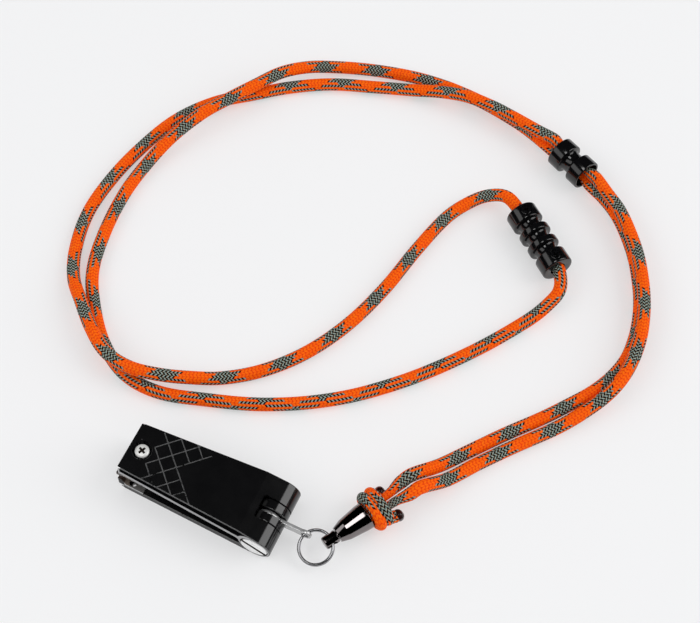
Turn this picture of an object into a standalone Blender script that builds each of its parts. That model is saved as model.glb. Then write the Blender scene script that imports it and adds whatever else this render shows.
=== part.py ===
"""A two-lever line nipper with steel jaws on a doubled paracord neck lanyard.

Metres, +Z up. The origin is on the lower lever's flat underside, +X runs from the jaws to the hinge.
The levers turn about an axle along Y. A nickel link, a split ring and a swivelling ferrule join the
axle to two strands of cord, which run through a slider bead and end in a connector.
"""

import math

import bmesh
import bpy
from mathutils import Matrix, Vector

MM = 0.001
GAP = 0.25  # between pieces that touch on the real object

# Driving dimensions, in millimetres. Heights marked "above the axle" belong to the closed levers.
AXLE = Vector((20.0, 0.0, 4.85))
JAW_END = -41.5  # from the axle
HALF_AT_JAWS = 7.15
HALF_AT_AXLE = 9.5
BARREL_R = 4.75
OPEN_DEG = 2.9  # the spring holds the levers this far open
UPPER_TOP = 6.05  # above the axle
UPPER_UNDER_JAW = 1.85
UPPER_UNDER_AXLE = 0.5
LOWER_TOP = -2.6
LOWER_UNDER = -4.85
JAW_SEAT = -3.25
JAW_REAR = -34.2
INNER_KNUCKLE = (0.75, 3.15)  # from the middle plane
OUTER_KNUCKLE = 3.4
POCKET_REAR = -3.0
CHAMFER = 0.35

SLEEVE_R = 2.4
SCREW_SHANK_R = 1.5
HEAD_R = 4.0
HEAD_DEEP = 1.3
SLOT_TURN = 27.0  # of the slot in each head, from level
HINGE_BORE_R = SLEEVE_R + GAP

JAW_SCREW_X = -37.85
JAW_SCREW_HEAD_R = 2.15
JAW_SCREW_SHANK_R = 1.0
COUNTERBORE_R = 2.7
NEEDLE = (-38.2, -6.0)
NEEDLE_R = 0.4
NEEDLE_HOLE = (-38.2, -5.65, 1.25)
SPRING_X = -12.0
SPRING_R = 1.7
SPRING_WIRE_R = 0.28
SPRING_TURNS = 5
SPRING_ENDS = (-2.6, 2.95)

LINK_HALF = 0.5
LINK_EYE = Vector((30.6, 0.0, 4.2))
LINK_EYE_R = 1.7
LINK_HOLE_R = 1.1

CORD_R = 1.92
CORD_Z = 1.97  # the middle of a cord that lies on the ground
SQUEEZED_R = 1.18

STEM_EYE = Vector((37.5, 1.3, 4.7))
FERRULE_HEADING = 60.0
FERRULE_PITCH = 4.0
STEM_R = 1.8
STEM_HOLE_R = 1.2
STEM_TIP = -2.3  # along the ferrule's axis, from the stem's eye
NECK_R = 1.2
FERRULE_START = 1.95
FERRULE_END = 11.3
FERRULE_R = 3.8
CAVITY_R = 2.75
KNOT_START = 11.6
KNOT_END = 17.0
KNOT_R = 6.0
KNOT_FLATTEN = 0.8

RING_R = 4.6  # of the wire's middle
RING_WIRE_R = 0.31
RING_PITCH = 0.8
RING_TILT = 13.0  # the near side hangs lower

BEAD_AT = Vector((51.9, 141.3, 4.8))
BEAD_HEADING = -25.7
BEAD_TRAVEL = 3.0
BEAD_LEAN = 75.0  # one strand lies above the other
BEAD_R = 4.75
WAIST_R = 3.3
THROAT_R = 2.85
MOUTH_R = 4.05
BEAD_HALF = 6.0
CONNECTOR_AT = Vector((52.8, 111.35, 4.8))
CONNECTOR_HEADING = -38.7
CONNECTOR_HALF = 11.05
CONNECTOR_BORE_R = 2.25
SET_SCREW_FROM_MIDDLE = 8.6
SET_SCREW_R = 1.5

# The strands' routes, chosen by hand in millimetres: x, y, z. Each starts in the connector.
ROUTE_A = [
    (64.3, 98.5, 4.3),
    (63.0, 93.5, 3.0),
    (59.5, 86.5, CORD_Z),
    (49.5, 71.0, CORD_Z),
    (36.0, 54.5, CORD_Z),
    (21.0, 41.0, CORD_Z),
    (4.0, 31.0, CORD_Z),
    (-14.0, 24.5, CORD_Z),
    (-26.0, 21.5, CORD_Z),
    (-36.5, 22.5, CORD_Z),
    (-46.0, 28.0, CORD_Z),
    (-54.5, 37.0, CORD_Z),
    (-61.5, 48.0, CORD_Z),
    (-65.0, 61.0, CORD_Z),
    (-66.5, 76.0, CORD_Z),
    (-65.5, 88.0, 2.4),
    (-62.5, 99.0, 4.4),
    (-57.5, 110.0, 6.1),
    (-52.5, 118.5, 6.3),
    (-47.5, 126.5, 6.3),
    (-42.5, 134.5, 5.9),
    (-36.5, 141.0, 4.3),
    (-29.0, 146.0, 2.6),
    (-19.0, 150.0, CORD_Z),
    (-6.0, 153.0, CORD_Z),
    (5.0, 153.9, CORD_Z),
    (13.8, 153.5, CORD_Z),
    (19.8, 152.7, CORD_Z),
    (25.8, 151.5, CORD_Z),
    (32.1, 149.9, CORD_Z),
    (37.4, 147.9, 2.2),
]
ROUTE_B = [
    (38.3, 121.6, 4.7),
    (33.0, 120.6, 3.3),
    (28.5, 116.5, 2.2),
    (24.5, 109.0, CORD_Z),
    (21.0, 95.0, CORD_Z),
    (18.0, 79.0, CORD_Z),
    (13.5, 64.0, CORD_Z),
    (7.0, 51.0, CORD_Z),
    (-1.5, 40.5, CORD_Z),
    (-11.0, 33.0, 2.3),
    (-19.5, 28.3, 3.9),
    (-27.5, 24.8, 5.6),
    (-35.5, 23.3, 6.2),
    (-43.5, 24.8, 6.2),
    (-51.0, 29.8, 6.0),
    (-58.0, 36.3, 5.3),
    (-65.0, 43.5, 3.2),
    (-70.0, 53.0, CORD_Z),
    (-73.0, 66.0, CORD_Z),
    (-72.5, 80.0, CORD_Z),
    (-70.0, 93.0, CORD_Z),
    (-65.5, 106.5, CORD_Z),
    (-58.0, 117.5, CORD_Z),
    (-48.5, 125.5, CORD_Z),
    (-39.0, 133.0, CORD_Z),
    (-28.0, 139.5, CORD_Z),
    (-14.0, 144.5, 2.2),
    (-3.5, 147.6, 2.9),
    (5.0, 149.6, 4.3),
    (13.5, 150.4, 5.7),
    (22.1, 149.9, 6.0),
    (28.3, 149.0, 6.0),
    (33.9, 147.9, 6.1),
    (38.5, 146.8, 6.4),
]
ROUTE_A_TO_KNOT = [
    (64.6, 134.9, 2.3),
    (70.0, 131.2, CORD_Z),
    (75.5, 125.2, CORD_Z),
    (80.0, 119.0, CORD_Z),
    (83.7, 112.2, CORD_Z),
    (86.3, 106.3, CORD_Z),
    (88.2, 100.0, CORD_Z),
    (89.3, 93.5, CORD_Z),
    (89.4, 86.5, CORD_Z),
    (87.8, 79.8, CORD_Z),
    (84.5, 72.8, CORD_Z),
    (79.8, 66.0, CORD_Z),
    (74.4, 59.2, CORD_Z),
    (67.0, 50.5, CORD_Z),
    (60.0, 41.5, 2.1),
    (54.8, 33.5, 3.4),
]
ROUTE_B_TO_KNOT = [
    (65.2, 134.3, 6.4),
    (71.0, 130.0, 6.1),
    (76.6, 123.7, 6.0),
    (81.2, 117.3, 6.0),
    (85.0, 110.3, 6.0),
    (87.5, 104.6, 6.0),
    (89.4, 98.8, 6.0),
    (90.8, 92.5, 5.95),
    (91.3, 86.0, 5.9),
    (90.8, 79.3, 5.6),
    (88.9, 72.9, 4.7),
    (85.2, 66.3, 3.2),
    (79.8, 58.6, 2.1),
    (70.8, 47.8, CORD_Z),
    (63.7, 38.7, 2.1),
    (58.3, 30.5, 3.4),
]
CORD_STEP = 10.0
CORD_TURN = 15.0  # degrees between a cord's points


def clear_scene():
    for obj in list(bpy.data.objects):
        bpy.data.objects.remove(obj, do_unlink=True)
    for collection in list(bpy.data.collections):
        bpy.data.collections.remove(collection)


def new_collection(name):
    collection = bpy.data.collections.new(name)
    bpy.context.scene.collection.children.link(collection)
    return collection


clear_scene()
PARTS = new_collection("line_nipper_lanyard")
CUTTERS = new_collection("cutters")
CUTTERS.hide_render = True


def material(name, colour, metallic, roughness):
    made = bpy.data.materials.new(name)
    made.use_nodes = True
    shader = made.node_tree.nodes["Principled BSDF"]
    shader.inputs["Base Color"].default_value = (*colour, 1.0)
    shader.inputs["Metallic"].default_value = metallic
    shader.inputs["Roughness"].default_value = roughness
    return made


FINISHES = {
    "anodised": ((0.012, 0.012, 0.014), 0.6, 0.35),
    "jaw_steel": ((0.30, 0.28, 0.26), 1.0, 0.3),
    "nickel": ((0.72, 0.71, 0.69), 1.0, 0.2),
    "gunmetal": ((0.16, 0.14, 0.14), 1.0, 0.12),
    "spring_steel": ((0.35, 0.35, 0.36), 1.0, 0.3),
    "gloss_black": ((0.008, 0.008, 0.009), 0.0, 0.12),
    "paracord": ((1.0, 0.16, 0.01), 0.0, 0.8),
    "melted_cord": ((0.03, 0.01, 0.01), 0.0, 0.2),
}


def finish(obj, kind):
    obj.data.materials.append(material(obj.name, *FINISHES[kind]))


def frame_empty(name, at, rotation=None):
    """An empty in millimetres, on a joint's axis or along a piece's own axis."""
    empty = bpy.data.objects.new(name, None)
    empty.matrix_world = Matrix.Translation(at * MM) @ (rotation or Matrix.Identity(4))
    bpy.context.scene.collection.objects.link(empty)
    return empty


def along(heading, pitch=0.0):
    """Turns local Z to the compass heading, tilted up by pitch, with local Y level."""
    up = Matrix.Rotation(math.radians(90.0 - pitch), 4, "Y")
    return Matrix.Rotation(math.radians(heading), 4, "Z") @ up


UPPER_FRAME = frame_empty("upper_arm_pivot", AXLE, Matrix.Rotation(math.radians(OPEN_DEG), 4, "Y"))
LOWER_FRAME = frame_empty("lower_arm_frame", AXLE)
LINK_FRAME = frame_empty("link_pivot", AXLE)
FERRULE_FRAME = frame_empty("ferrule_axis", STEM_EYE, along(FERRULE_HEADING, FERRULE_PITCH))
BEAD_FRAME = frame_empty("bead_axis", BEAD_AT, along(BEAD_HEADING))
CONNECTOR_FRAME = frame_empty("connector_axis", CONNECTOR_AT, along(CONNECTOR_HEADING))


def link(obj, frame, collection):
    collection.objects.link(obj)
    obj.parent = frame
    if collection is CUTTERS:
        obj.hide_render = True
        obj.display_type = "WIRE"
    return obj


def from_bmesh(name, bm, frame, collection):
    bmesh.ops.recalc_face_normals(bm, faces=bm.faces)
    mesh = bpy.data.meshes.new(name)
    bm.to_mesh(mesh)
    bm.free()
    return link(bpy.data.objects.new(name, mesh), frame, collection)


def box(name, low, high, frame, collection):
    bm = bmesh.new()
    bmesh.ops.create_cube(bm, size=1.0)
    low, high = Vector(low) * MM, Vector(high) * MM
    for vert in bm.verts:
        vert.co = Vector(((low[i] + high[i]) / 2 + vert.co[i] * (high[i] - low[i])) for i in range(3))
    return from_bmesh(name, bm, frame, collection)


def cylinder(name, radius, start, end, axis, centre, frame, collection, sides=40):
    """A cylinder from start to end along a local axis, through centre."""
    turn = {"X": Matrix.Rotation(math.pi / 2, 4, "Y"), "Y": Matrix.Rotation(-math.pi / 2, 4, "X")}
    bm = bmesh.new()
    bmesh.ops.create_cone(
        bm,
        cap_ends=True,
        segments=sides,
        radius1=radius * MM,
        radius2=radius * MM,
        depth=(end - start) * MM,
        matrix=Matrix.Translation(Vector(centre) * MM)
        @ turn.get(axis, Matrix.Identity(4))
        @ Matrix.Translation(Vector((0, 0, (start + end) / 2)) * MM),
    )
    return from_bmesh(name, bm, frame, collection)


def turned(name, profile, frame, collection, steps=32, closed=True):
    """Turns a profile of (radius, height) about local Z. Its outer side runs top to bottom."""
    mesh = bpy.data.meshes.new(name)
    count = len(profile)
    edges = [(i, i + 1) for i in range(count - 1)] + ([(count - 1, 0)] if closed else [])
    mesh.from_pydata([(r * MM, 0.0, z * MM) for r, z in profile], edges, [])
    obj = link(bpy.data.objects.new(name, mesh), frame, collection)
    screw = obj.modifiers.new("turn", "SCREW")
    screw.steps = screw.render_steps = steps
    screw.use_merge_vertices = True
    screw.merge_threshold = 0.00001
    screw.use_smooth_shade = True
    return obj


def boolean(obj, other, operation="DIFFERENCE"):
    modifier = obj.modifiers.new(other.name, "BOOLEAN")
    modifier.operation = operation
    modifier.object = other
    modifier.solver = "EXACT"


def half_width(x):
    """Half of a lever's width, at x from the axle."""
    return HALF_AT_AXLE + (HALF_AT_JAWS - HALF_AT_AXLE) * min(1.0, x / JAW_END)


def plate(name, outline, frame, collection, inset=0.0, chamfer=CHAMFER):
    """A side outline of (x, z) from the axle, spread over the levers' tapered width."""
    curve = bpy.data.curves.new(name, "CURVE")
    curve.dimensions = "2D"
    curve.fill_mode = "BOTH"
    curve.extrude = MM
    spline = curve.splines.new("POLY")
    spline.points.add(len(outline) - 1)
    for point, (x, z) in zip(spline.points, outline):
        point.co = (x * MM, z * MM, 0.0, 1.0)
    spline.use_cyclic_u = True
    source = bpy.data.objects.new(name + "_outline", curve)
    bpy.context.scene.collection.objects.link(source)
    bpy.context.view_layer.update()
    mesh = bpy.data.meshes.new_from_object(source.evaluated_get(bpy.context.evaluated_depsgraph_get()))
    bpy.data.objects.remove(source)
    bm = bmesh.new()
    bm.from_mesh(mesh)
    bmesh.ops.remove_doubles(bm, verts=bm.verts, dist=0.000001)
    bmesh.ops.dissolve_limit(bm, angle_limit=0.001, verts=bm.verts, edges=bm.edges)
    for vert in bm.verts:
        x, z, side = vert.co.x, vert.co.y, math.copysign(1.0, vert.co.z)
        vert.co = Vector((x, side * (half_width(x / MM) - inset) * MM, z))
    obj = from_bmesh(name, bm, frame, collection)
    if chamfer:
        bevel = obj.modifiers.new("chamfer", "BEVEL")
        bevel.width = chamfer * MM
        bevel.segments = 1
        bevel.limit_method = "ANGLE"
        bevel.angle_limit = math.radians(50)
    return obj


def phillips(name, centre, top, size, deep, frame):
    """A tapered cross recess, cut down from top."""
    arms = []
    for turn in (0.0, 90.0):
        bm = bmesh.new()
        bmesh.ops.create_cube(bm, size=1.0)
        for vert in bm.verts:
            wide = size if vert.co.z > 0 else size * 0.5
            vert.co = Vector((vert.co.x * wide, vert.co.y * size * 0.26, vert.co.z * deep * 2)) * MM
        bmesh.ops.transform(
            bm,
            matrix=Matrix.Translation(Vector((*centre, top)) * MM)
            @ Matrix.Rotation(math.radians(45.0 + turn), 4, "Z"),
            verts=bm.verts,
        )
        arms.append(from_bmesh(f"{name}_{turn:.0f}", bm, frame, CUTTERS))
    return arms


def knuckle(name, inner, outer, frame):
    return cylinder(name, BARREL_R, inner, outer, "Y", (0, 0, 0), frame, CUTTERS)


def make_upper_lever():
    """The thumb lever, with the two outer knuckles and the pocket that clears the inner ones."""
    outline = [
        (JAW_END, UPPER_TOP),
        (-5.0, UPPER_TOP),
        (0.9, 4.62),
        (0.5, 3.0),
        (0.0, -1.0),
        (-3.2, -1.0),
        (-4.4, 0.2),
        (-6.0, UPPER_UNDER_AXLE),
        (JAW_REAR, UPPER_UNDER_JAW),
        (JAW_END, UPPER_UNDER_JAW),
    ]
    lever = plate("upper_lever", outline, UPPER_FRAME, PARTS)
    wide = HALF_AT_AXLE + 1.0
    for side in (-1, 1):
        inner, outer = sorted((side * OUTER_KNUCKLE, side * HALF_AT_AXLE))
        boolean(lever, knuckle(f"outer_knuckle_{side}", inner, outer, UPPER_FRAME), "UNION")
    cuts = [
        box("hinge_pocket", (POCKET_REAR, -OUTER_KNUCKLE, -7), (7, OUTER_KNUCKLE, 9), UPPER_FRAME, CUTTERS),
        cylinder("knuckle_room", BARREL_R + 0.3, -OUTER_KNUCKLE, OUTER_KNUCKLE, "Y", (0, 0, 0), UPPER_FRAME, CUTTERS),
        cylinder("upper_hinge_bore", HINGE_BORE_R, -wide, wide, "Y", (0, 0, 0), UPPER_FRAME, CUTTERS),
        cylinder("upper_screw_hole", JAW_SCREW_SHANK_R + GAP, 0, 9, "Z", (JAW_SCREW_X, 0, 0), UPPER_FRAME, CUTTERS, 24),
        cylinder("upper_screw_seat", COUNTERBORE_R, UPPER_TOP - 1.4, 9, "Z", (JAW_SCREW_X, 0, 0), UPPER_FRAME, CUTTERS, 32),
        cylinder("needle_seat", NEEDLE_R + GAP, 0, 4.4, "Z", (*NEEDLE, 0), UPPER_FRAME, CUTTERS, sides=16),
        cylinder("upper_spring_seat", 2.4, 0, 3.1, "Z", (SPRING_X, 0, 0), UPPER_FRAME, CUTTERS, 24),
    ]
    for side in (-1, 1):
        start, end = sorted((side * (HALF_AT_AXLE - HEAD_DEEP), side * wide))
        cuts.append(
            cylinder(f"head_seat_{side}", HEAD_R + GAP / 2, start, end, "Y", (0, 0, 0), UPPER_FRAME, CUTTERS)
        )
    for cutter in cuts:
        boolean(lever, cutter)
    finish(lever, "anodised")


def make_lower_lever():
    """The base lever, with the two inner knuckles and the slot for the lanyard link."""
    outline = [
        (JAW_END + 1.2, LOWER_UNDER),
        (JAW_END + 0.4, LOWER_UNDER + 0.4),
        (JAW_END, LOWER_UNDER + 1.0),
        (JAW_END, JAW_SEAT),
        (JAW_REAR, JAW_SEAT),
        (JAW_REAR, LOWER_TOP),
        (-5.3, LOWER_TOP),
        (-4.0, -1.2),
        (0.0, 0.0),
        (1.5, -4.2),
        (0.0, LOWER_UNDER),
    ]
    lever = plate("lower_lever", outline, LOWER_FRAME, PARTS)
    inner, outer = INNER_KNUCKLE
    for side in (-1, 1):
        start, end = sorted((side * 0.2, side * outer))
        boolean(lever, knuckle(f"inner_knuckle_{side}", start, end, LOWER_FRAME), "UNION")
    wide = HALF_AT_AXLE + 1.0
    cuts = [
        cylinder("lower_hinge_bore", HINGE_BORE_R, -wide, wide, "Y", (0, 0, 0), LOWER_FRAME, CUTTERS),
        cylinder("link_slot_round", 3.6, -inner, inner, "Y", (0, 0, 0), LOWER_FRAME, CUTTERS),
        box("link_slot", (0, -inner, -7), (7, inner, 7), LOWER_FRAME, CUTTERS),
        box("link_slot_top", (-5, -inner, 0), (1, inner, 7), LOWER_FRAME, CUTTERS),
        cylinder("lower_screw_hole", JAW_SCREW_SHANK_R + GAP, -7, 0, "Z", (JAW_SCREW_X, 0, 0), LOWER_FRAME, CUTTERS, 24),
        cylinder("lower_screw_seat", 2.45, -7, -4.0, "Z", (JAW_SCREW_X, 0, 0), LOWER_FRAME, CUTTERS, 32),
        cylinder("lower_needle_hole", NEEDLE_HOLE[2], -7, 0, "Z", (*NEEDLE_HOLE[:2], 0), LOWER_FRAME, CUTTERS, sides=24),
        cylinder("lower_spring_seat", 2.4, -2.9, 0, "Z", (SPRING_X, 0, 0), LOWER_FRAME, CUTTERS, 24),
    ]
    for side in (-1, 1):
        start, end = sorted((side * outer, side * wide))
        cuts.append(
            cylinder(f"outer_knuckle_room_{side}", BARREL_R + 0.3, start, end, "Y", (0, 0, 0), LOWER_FRAME, CUTTERS)
        )
    for cutter in cuts:
        boolean(lever, cutter)
    finish(lever, "anodised")


def make_jaws():
    """Two flat steel jaws whose front lips meet when the levers close."""
    tip = JAW_END - 0.6
    lower_top = JAW_SEAT + 0.2 + 1.0
    lower = [
        (tip, JAW_SEAT + 0.2),
        (JAW_REAR - GAP, JAW_SEAT + 0.2),
        (JAW_REAR - GAP, lower_top),
        (tip + 2.3, lower_top),
        (tip + 1.0, 0.15),
        (tip, 0.15),
    ]
    upper_top = UPPER_UNDER_JAW - 0.2
    upper = [
        (tip - 0.1, upper_top),
        (tip - 0.1, 0.3),
        (tip + 0.9, 0.3),
        (tip + 2.2, upper_top - 1.0),
        (JAW_REAR - GAP, upper_top - 1.0),
        (JAW_REAR - GAP, upper_top),
    ]
    shank = JAW_SCREW_SHANK_R + GAP
    for name, outline, frame, needle_hole in (
        ("lower_jaw", lower, LOWER_FRAME, NEEDLE_HOLE),
        ("upper_jaw", upper, UPPER_FRAME, (*NEEDLE, NEEDLE_R + GAP)),
    ):
        jaw = plate(name, outline, frame, PARTS, inset=0.12, chamfer=0.12)
        boolean(jaw, cylinder(name + "_screw_hole", shank, -5, 5, "Z", (JAW_SCREW_X, 0, 0), frame, CUTTERS, sides=24))
        x, y, radius = needle_hole
        boolean(jaw, cylinder(name + "_needle_hole", radius, -5, 5, "Z", (x, y, 0), frame, CUTTERS, sides=24))
        finish(jaw, "jaw_steel")


def make_jaw_screws():
    top = UPPER_TOP - 0.1
    upper = [
        (0, top),
        (1.5, top),
        (JAW_SCREW_HEAD_R, top - 0.35),
        (JAW_SCREW_HEAD_R, top - 1.0),
        (JAW_SCREW_SHANK_R, top - 1.0),
        (JAW_SCREW_SHANK_R, 1.8),
        (0, 1.8),
    ]
    under = LOWER_UNDER + 0.1
    lower = [
        (0, -2.4),
        (JAW_SCREW_SHANK_R, -2.4),
        (JAW_SCREW_SHANK_R, under + 0.55),
        (JAW_SCREW_HEAD_R, under + 0.55),
        (JAW_SCREW_HEAD_R, under),
        (0, under),
    ]
    for name, profile, frame, recess_top in (
        ("upper_jaw_screw", upper, UPPER_FRAME, top),
        ("lower_jaw_screw", lower, LOWER_FRAME, under),
    ):
        screw = turned(name, [(r, z) for r, z in profile], frame, PARTS, steps=24, closed=False)
        screw.location.x = JAW_SCREW_X * MM
        deep = 0.6 if frame is UPPER_FRAME else 0.35
        for arm in phillips(name + "_recess", (JAW_SCREW_X, 0.0), recess_top, 2.6, deep, frame):
            boolean(screw, arm)
        finish(screw, "nickel")


def make_needle():
    """The hook-eye needle, fixed in the upper lever, which dips into a hole in the lower jaw."""
    profile = [(0, 4.1), (NEEDLE_R, 4.1), (NEEDLE_R, -1.6), (0.1, -2.6), (0, -2.6)]
    needle = turned("eye_needle", profile, UPPER_FRAME, PARTS, steps=12, closed=False)
    needle.location.x = NEEDLE[0] * MM
    needle.location.y = NEEDLE[1] * MM
    finish(needle, "nickel")


def make_axle():
    """A slotted screw and its barrel nut. The levers and the link turn on the nut's sleeve."""
    face = HALF_AT_AXLE + 0.05
    seat = HALF_AT_AXLE - HEAD_DEEP + GAP / 2
    screw = [
        (0, face),
        (HEAD_R - 0.3, face),
        (HEAD_R, face - 0.3),
        (HEAD_R, seat),
        (SCREW_SHANK_R, seat),
        (SCREW_SHANK_R, -6.5),
        (0, -6.5),
    ]
    nut = [
        (0, face),
        (HEAD_R - 0.3, face),
        (HEAD_R, face - 0.3),
        (HEAD_R, seat),
        (SLEEVE_R, seat),
        (SLEEVE_R, -(seat - GAP)),
        (SCREW_SHANK_R + GAP, -(seat - GAP)),
        (SCREW_SHANK_R + GAP, 7.4),
        (0, 7.4),
    ]
    for name, profile, turn in (("hinge_screw", screw, 90.0), ("hinge_nut", nut, -90.0)):
        piece = turned(name, profile, LOWER_FRAME, PARTS, closed=False)
        piece.rotation_euler.x = math.radians(turn)
        slot = box(
            name + "_slot",
            (-5.0, -0.42, face - 0.65),
            (5.0, 0.42, face + 1.0),
            LOWER_FRAME,
            CUTTERS,
        )
        slot.rotation_euler = (math.radians(turn), math.radians(SLOT_TURN), 0.0)
        boolean(piece, slot)
        finish(piece, "nickel")


def tube(name, points, radius, frame, resolution=2, collection=PARTS):
    """A round wire or cord through points in millimetres, each with its own share of the radius."""
    curve = bpy.data.curves.new(name, "CURVE")
    curve.dimensions = "3D"
    curve.bevel_depth = radius * MM
    curve.bevel_resolution = resolution
    curve.use_fill_caps = True
    spline = curve.splines.new("POLY")
    spline.points.add(len(points) - 1)
    for point, (place, share) in zip(spline.points, points):
        point.co = (*(Vector(place) * MM), 1.0)
        point.radius = share
    spline.use_smooth = True
    return link(bpy.data.objects.new(name, curve), frame, collection)


def make_spring():
    low, high = SPRING_ENDS
    steps = SPRING_TURNS * 12
    points = []
    for i in range(steps + 1):
        angle = 2 * math.pi * SPRING_TURNS * i / steps
        height = low + SPRING_WIRE_R + (high - low - 2 * SPRING_WIRE_R) * i / steps
        place = (SPRING_X + SPRING_R * math.cos(angle), SPRING_R * math.sin(angle), height)
        points.append((place, 1.0))
    spring = tube("lever_spring", points, SPRING_WIRE_R, LOWER_FRAME, resolution=1)
    finish(spring, "spring_steel")


def make_link():
    """The flat link: a hub on the axle's sleeve, a tongue, and an eye for the split ring."""
    reach = LINK_EYE - AXLE
    angle = math.atan2(-reach.z, reach.x)
    length = math.hypot(reach.x, reach.z)
    LINK_FRAME.matrix_world = LINK_FRAME.matrix_world @ Matrix.Rotation(angle, 4, "Y")
    piece = cylinder("lanyard_link", 3.3, -LINK_HALF, LINK_HALF, "Y", (0, 0, 0), LINK_FRAME, PARTS, sides=32)
    eye = cylinder("link_eye", LINK_EYE_R, -LINK_HALF, LINK_HALF, "Y", (length, 0, 0), LINK_FRAME, CUTTERS, sides=24)
    tongue = box("link_tongue", (0, -LINK_HALF, -1.35), (length, LINK_HALF, 1.35), LINK_FRAME, CUTTERS)
    boolean(piece, tongue, "UNION")
    boolean(piece, eye, "UNION")
    boolean(piece, cylinder("link_bore", HINGE_BORE_R, -3, 3, "Y", (0, 0, 0), LINK_FRAME, CUTTERS))
    boolean(piece, cylinder("link_hole", LINK_HOLE_R, -3, 3, "Y", (length, 0, 0), LINK_FRAME, CUTTERS, sides=20))
    finish(piece, "nickel")


def ring_frame():
    """The ring's middle and axes: it passes through the link's eye and the stem's eye, tipped to one side."""
    chord = STEM_EYE - LINK_EYE
    across = chord.normalized()
    level = Vector((across.y, -across.x, 0.0)).normalized()
    tilt = math.radians(RING_TILT)
    aside = level * math.cos(tilt) + across.cross(level) * math.sin(tilt)
    offset = math.sqrt(RING_R**2 - (chord.length / 2) ** 2)
    middle = (STEM_EYE + LINK_EYE) / 2 + aside * offset
    return middle, across, aside


def make_ring():
    """Two turns of wire, side by side, as a split ring has."""
    middle, across, aside = ring_frame()
    normal = across.cross(aside)
    steps = 56
    points = []
    for i in range(steps + 1):
        turn = 2.0 * i / steps
        angle = 2 * math.pi * turn + math.radians(200.0)
        lift = RING_PITCH * (turn - 1.0) * 0.97
        lift = min(max(lift, -RING_PITCH / 2), RING_PITCH / 2)
        place = middle + (across * math.cos(angle) + aside * math.sin(angle)) * RING_R + normal * lift
        points.append((place, 1.0))
    ring = tube("split_ring", points, RING_WIRE_R, None, resolution=2)
    finish(ring, "nickel")


def make_stem():
    """The swivel eye: a pin with a cross hole, held in the ferrule by the collar at its end."""
    profile = [
        (0, 7.6),
        (2.2, 7.6),
        (2.2, 6.4),
        (NECK_R, 6.4),
        (NECK_R, FERRULE_START - 0.35),
        (STEM_R, FERRULE_START - 0.35),
        (STEM_R, STEM_TIP + 0.25),
        (STEM_R - 0.25, STEM_TIP),
        (0, STEM_TIP),
    ]
    stem = turned("swivel_stem", profile, FERRULE_FRAME, PARTS, steps=24, closed=False)
    middle, across, aside = ring_frame()
    spoke = (STEM_EYE - middle).normalized()
    tangent = across.cross(aside).cross(spoke)
    hole = cylinder("stem_hole", STEM_HOLE_R, -3, 3, "Z", (0, 0, 0), None, CUTTERS, sides=20)
    hole.matrix_world = Matrix.Translation(STEM_EYE * MM) @ tangent.to_track_quat("Z", "Y").to_matrix().to_4x4()
    boolean(stem, hole)
    finish(stem, "gunmetal")


def make_ferrule():
    """The bell that the stem swivels in. The strands' ends sit in its open end."""
    profile = [
        (FERRULE_R - 0.15, FERRULE_END),
        (FERRULE_R, FERRULE_END - 0.15),
        (3.1, FERRULE_START + 2.5),
        (STEM_R + 0.35, FERRULE_START),
        (NECK_R + 0.2, FERRULE_START),
        (NECK_R + 0.2, 6.1),
        (CAVITY_R - 0.2, 6.1),
        (CAVITY_R, 6.6),
        (CAVITY_R, FERRULE_END),
    ]
    ferrule = turned("ferrule_body", profile, FERRULE_FRAME, PARTS)
    finish(ferrule, "gunmetal")


def make_knot():
    """The outer shape of the two turns of cord that bind the strands, flattened where it lies."""
    middle = (KNOT_START + KNOT_END) / 2
    quarter = (KNOT_END - KNOT_START) / 4
    outer = []
    for turn in (1, -1):
        for i in range(6):
            angle = math.pi * (i + 0.5) / 6
            height = middle + turn * quarter + quarter * math.cos(angle)
            outer.append((KNOT_R - 1.9 + 1.9 * math.sin(angle), height))
    profile = outer + [(CAVITY_R, KNOT_START + 0.2), (CAVITY_R, KNOT_END - 0.2)]
    knot = turned("wrap_knot", profile, FERRULE_FRAME, PARTS, steps=28)
    knot.scale.x = KNOT_FLATTEN
    finish(knot, "paracord")


def make_melted_ends():
    """The wrap's two cut ends, melted into balls low down behind the knot."""
    for name, low, side, radius in (("melted_end_left", 2.0, 3.8, 1.65), ("melted_end_right", 1.2, -4.7, 1.75)):
        bm = bmesh.new()
        bmesh.ops.create_uvsphere(bm, u_segments=16, v_segments=10, radius=radius * MM)
        end = from_bmesh(name, bm, FERRULE_FRAME, PARTS)
        end.location = Vector((low, side, KNOT_END + GAP + radius)) * MM
        finish(end, "melted_cord")


def bevelled_flange(low, high, radius, edge=0.45):
    """The outer corners of one flange, from its upper end to its lower end."""
    return [(radius - edge, high), (radius, high - edge), (radius, low + edge), (radius - edge, low)]


def groove(low, high, radius, rim, count=4):
    """A round-bottomed groove between two flanges, read from the upper side down."""
    middle, half = (low + high) / 2, (high - low) / 2
    points = []
    for i in range(1, count):
        angle = math.pi * i / count
        points.append((rim - (rim - radius) * math.sin(angle) ** 0.6, middle + half * math.cos(angle)))
    return points


def make_bead():
    """The slider bead: two flanges on a waist, open at both ends, which slides along both strands."""
    waist = 1.7
    profile = bevelled_flange(waist, BEAD_HALF, BEAD_R)
    profile += groove(-waist, waist, WAIST_R, BEAD_R - 0.6)
    profile += bevelled_flange(-BEAD_HALF, -waist, BEAD_R)
    profile += [
        (MOUTH_R, -BEAD_HALF),
        (MOUTH_R, -3.0),
        (THROAT_R, -1.5),
        (THROAT_R, 1.5),
        (MOUTH_R, 3.0),
        (MOUTH_R, BEAD_HALF),
    ]
    bead = turned("slider_bead", profile, BEAD_FRAME, PARTS)
    finish(bead, "gloss_black")


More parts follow.
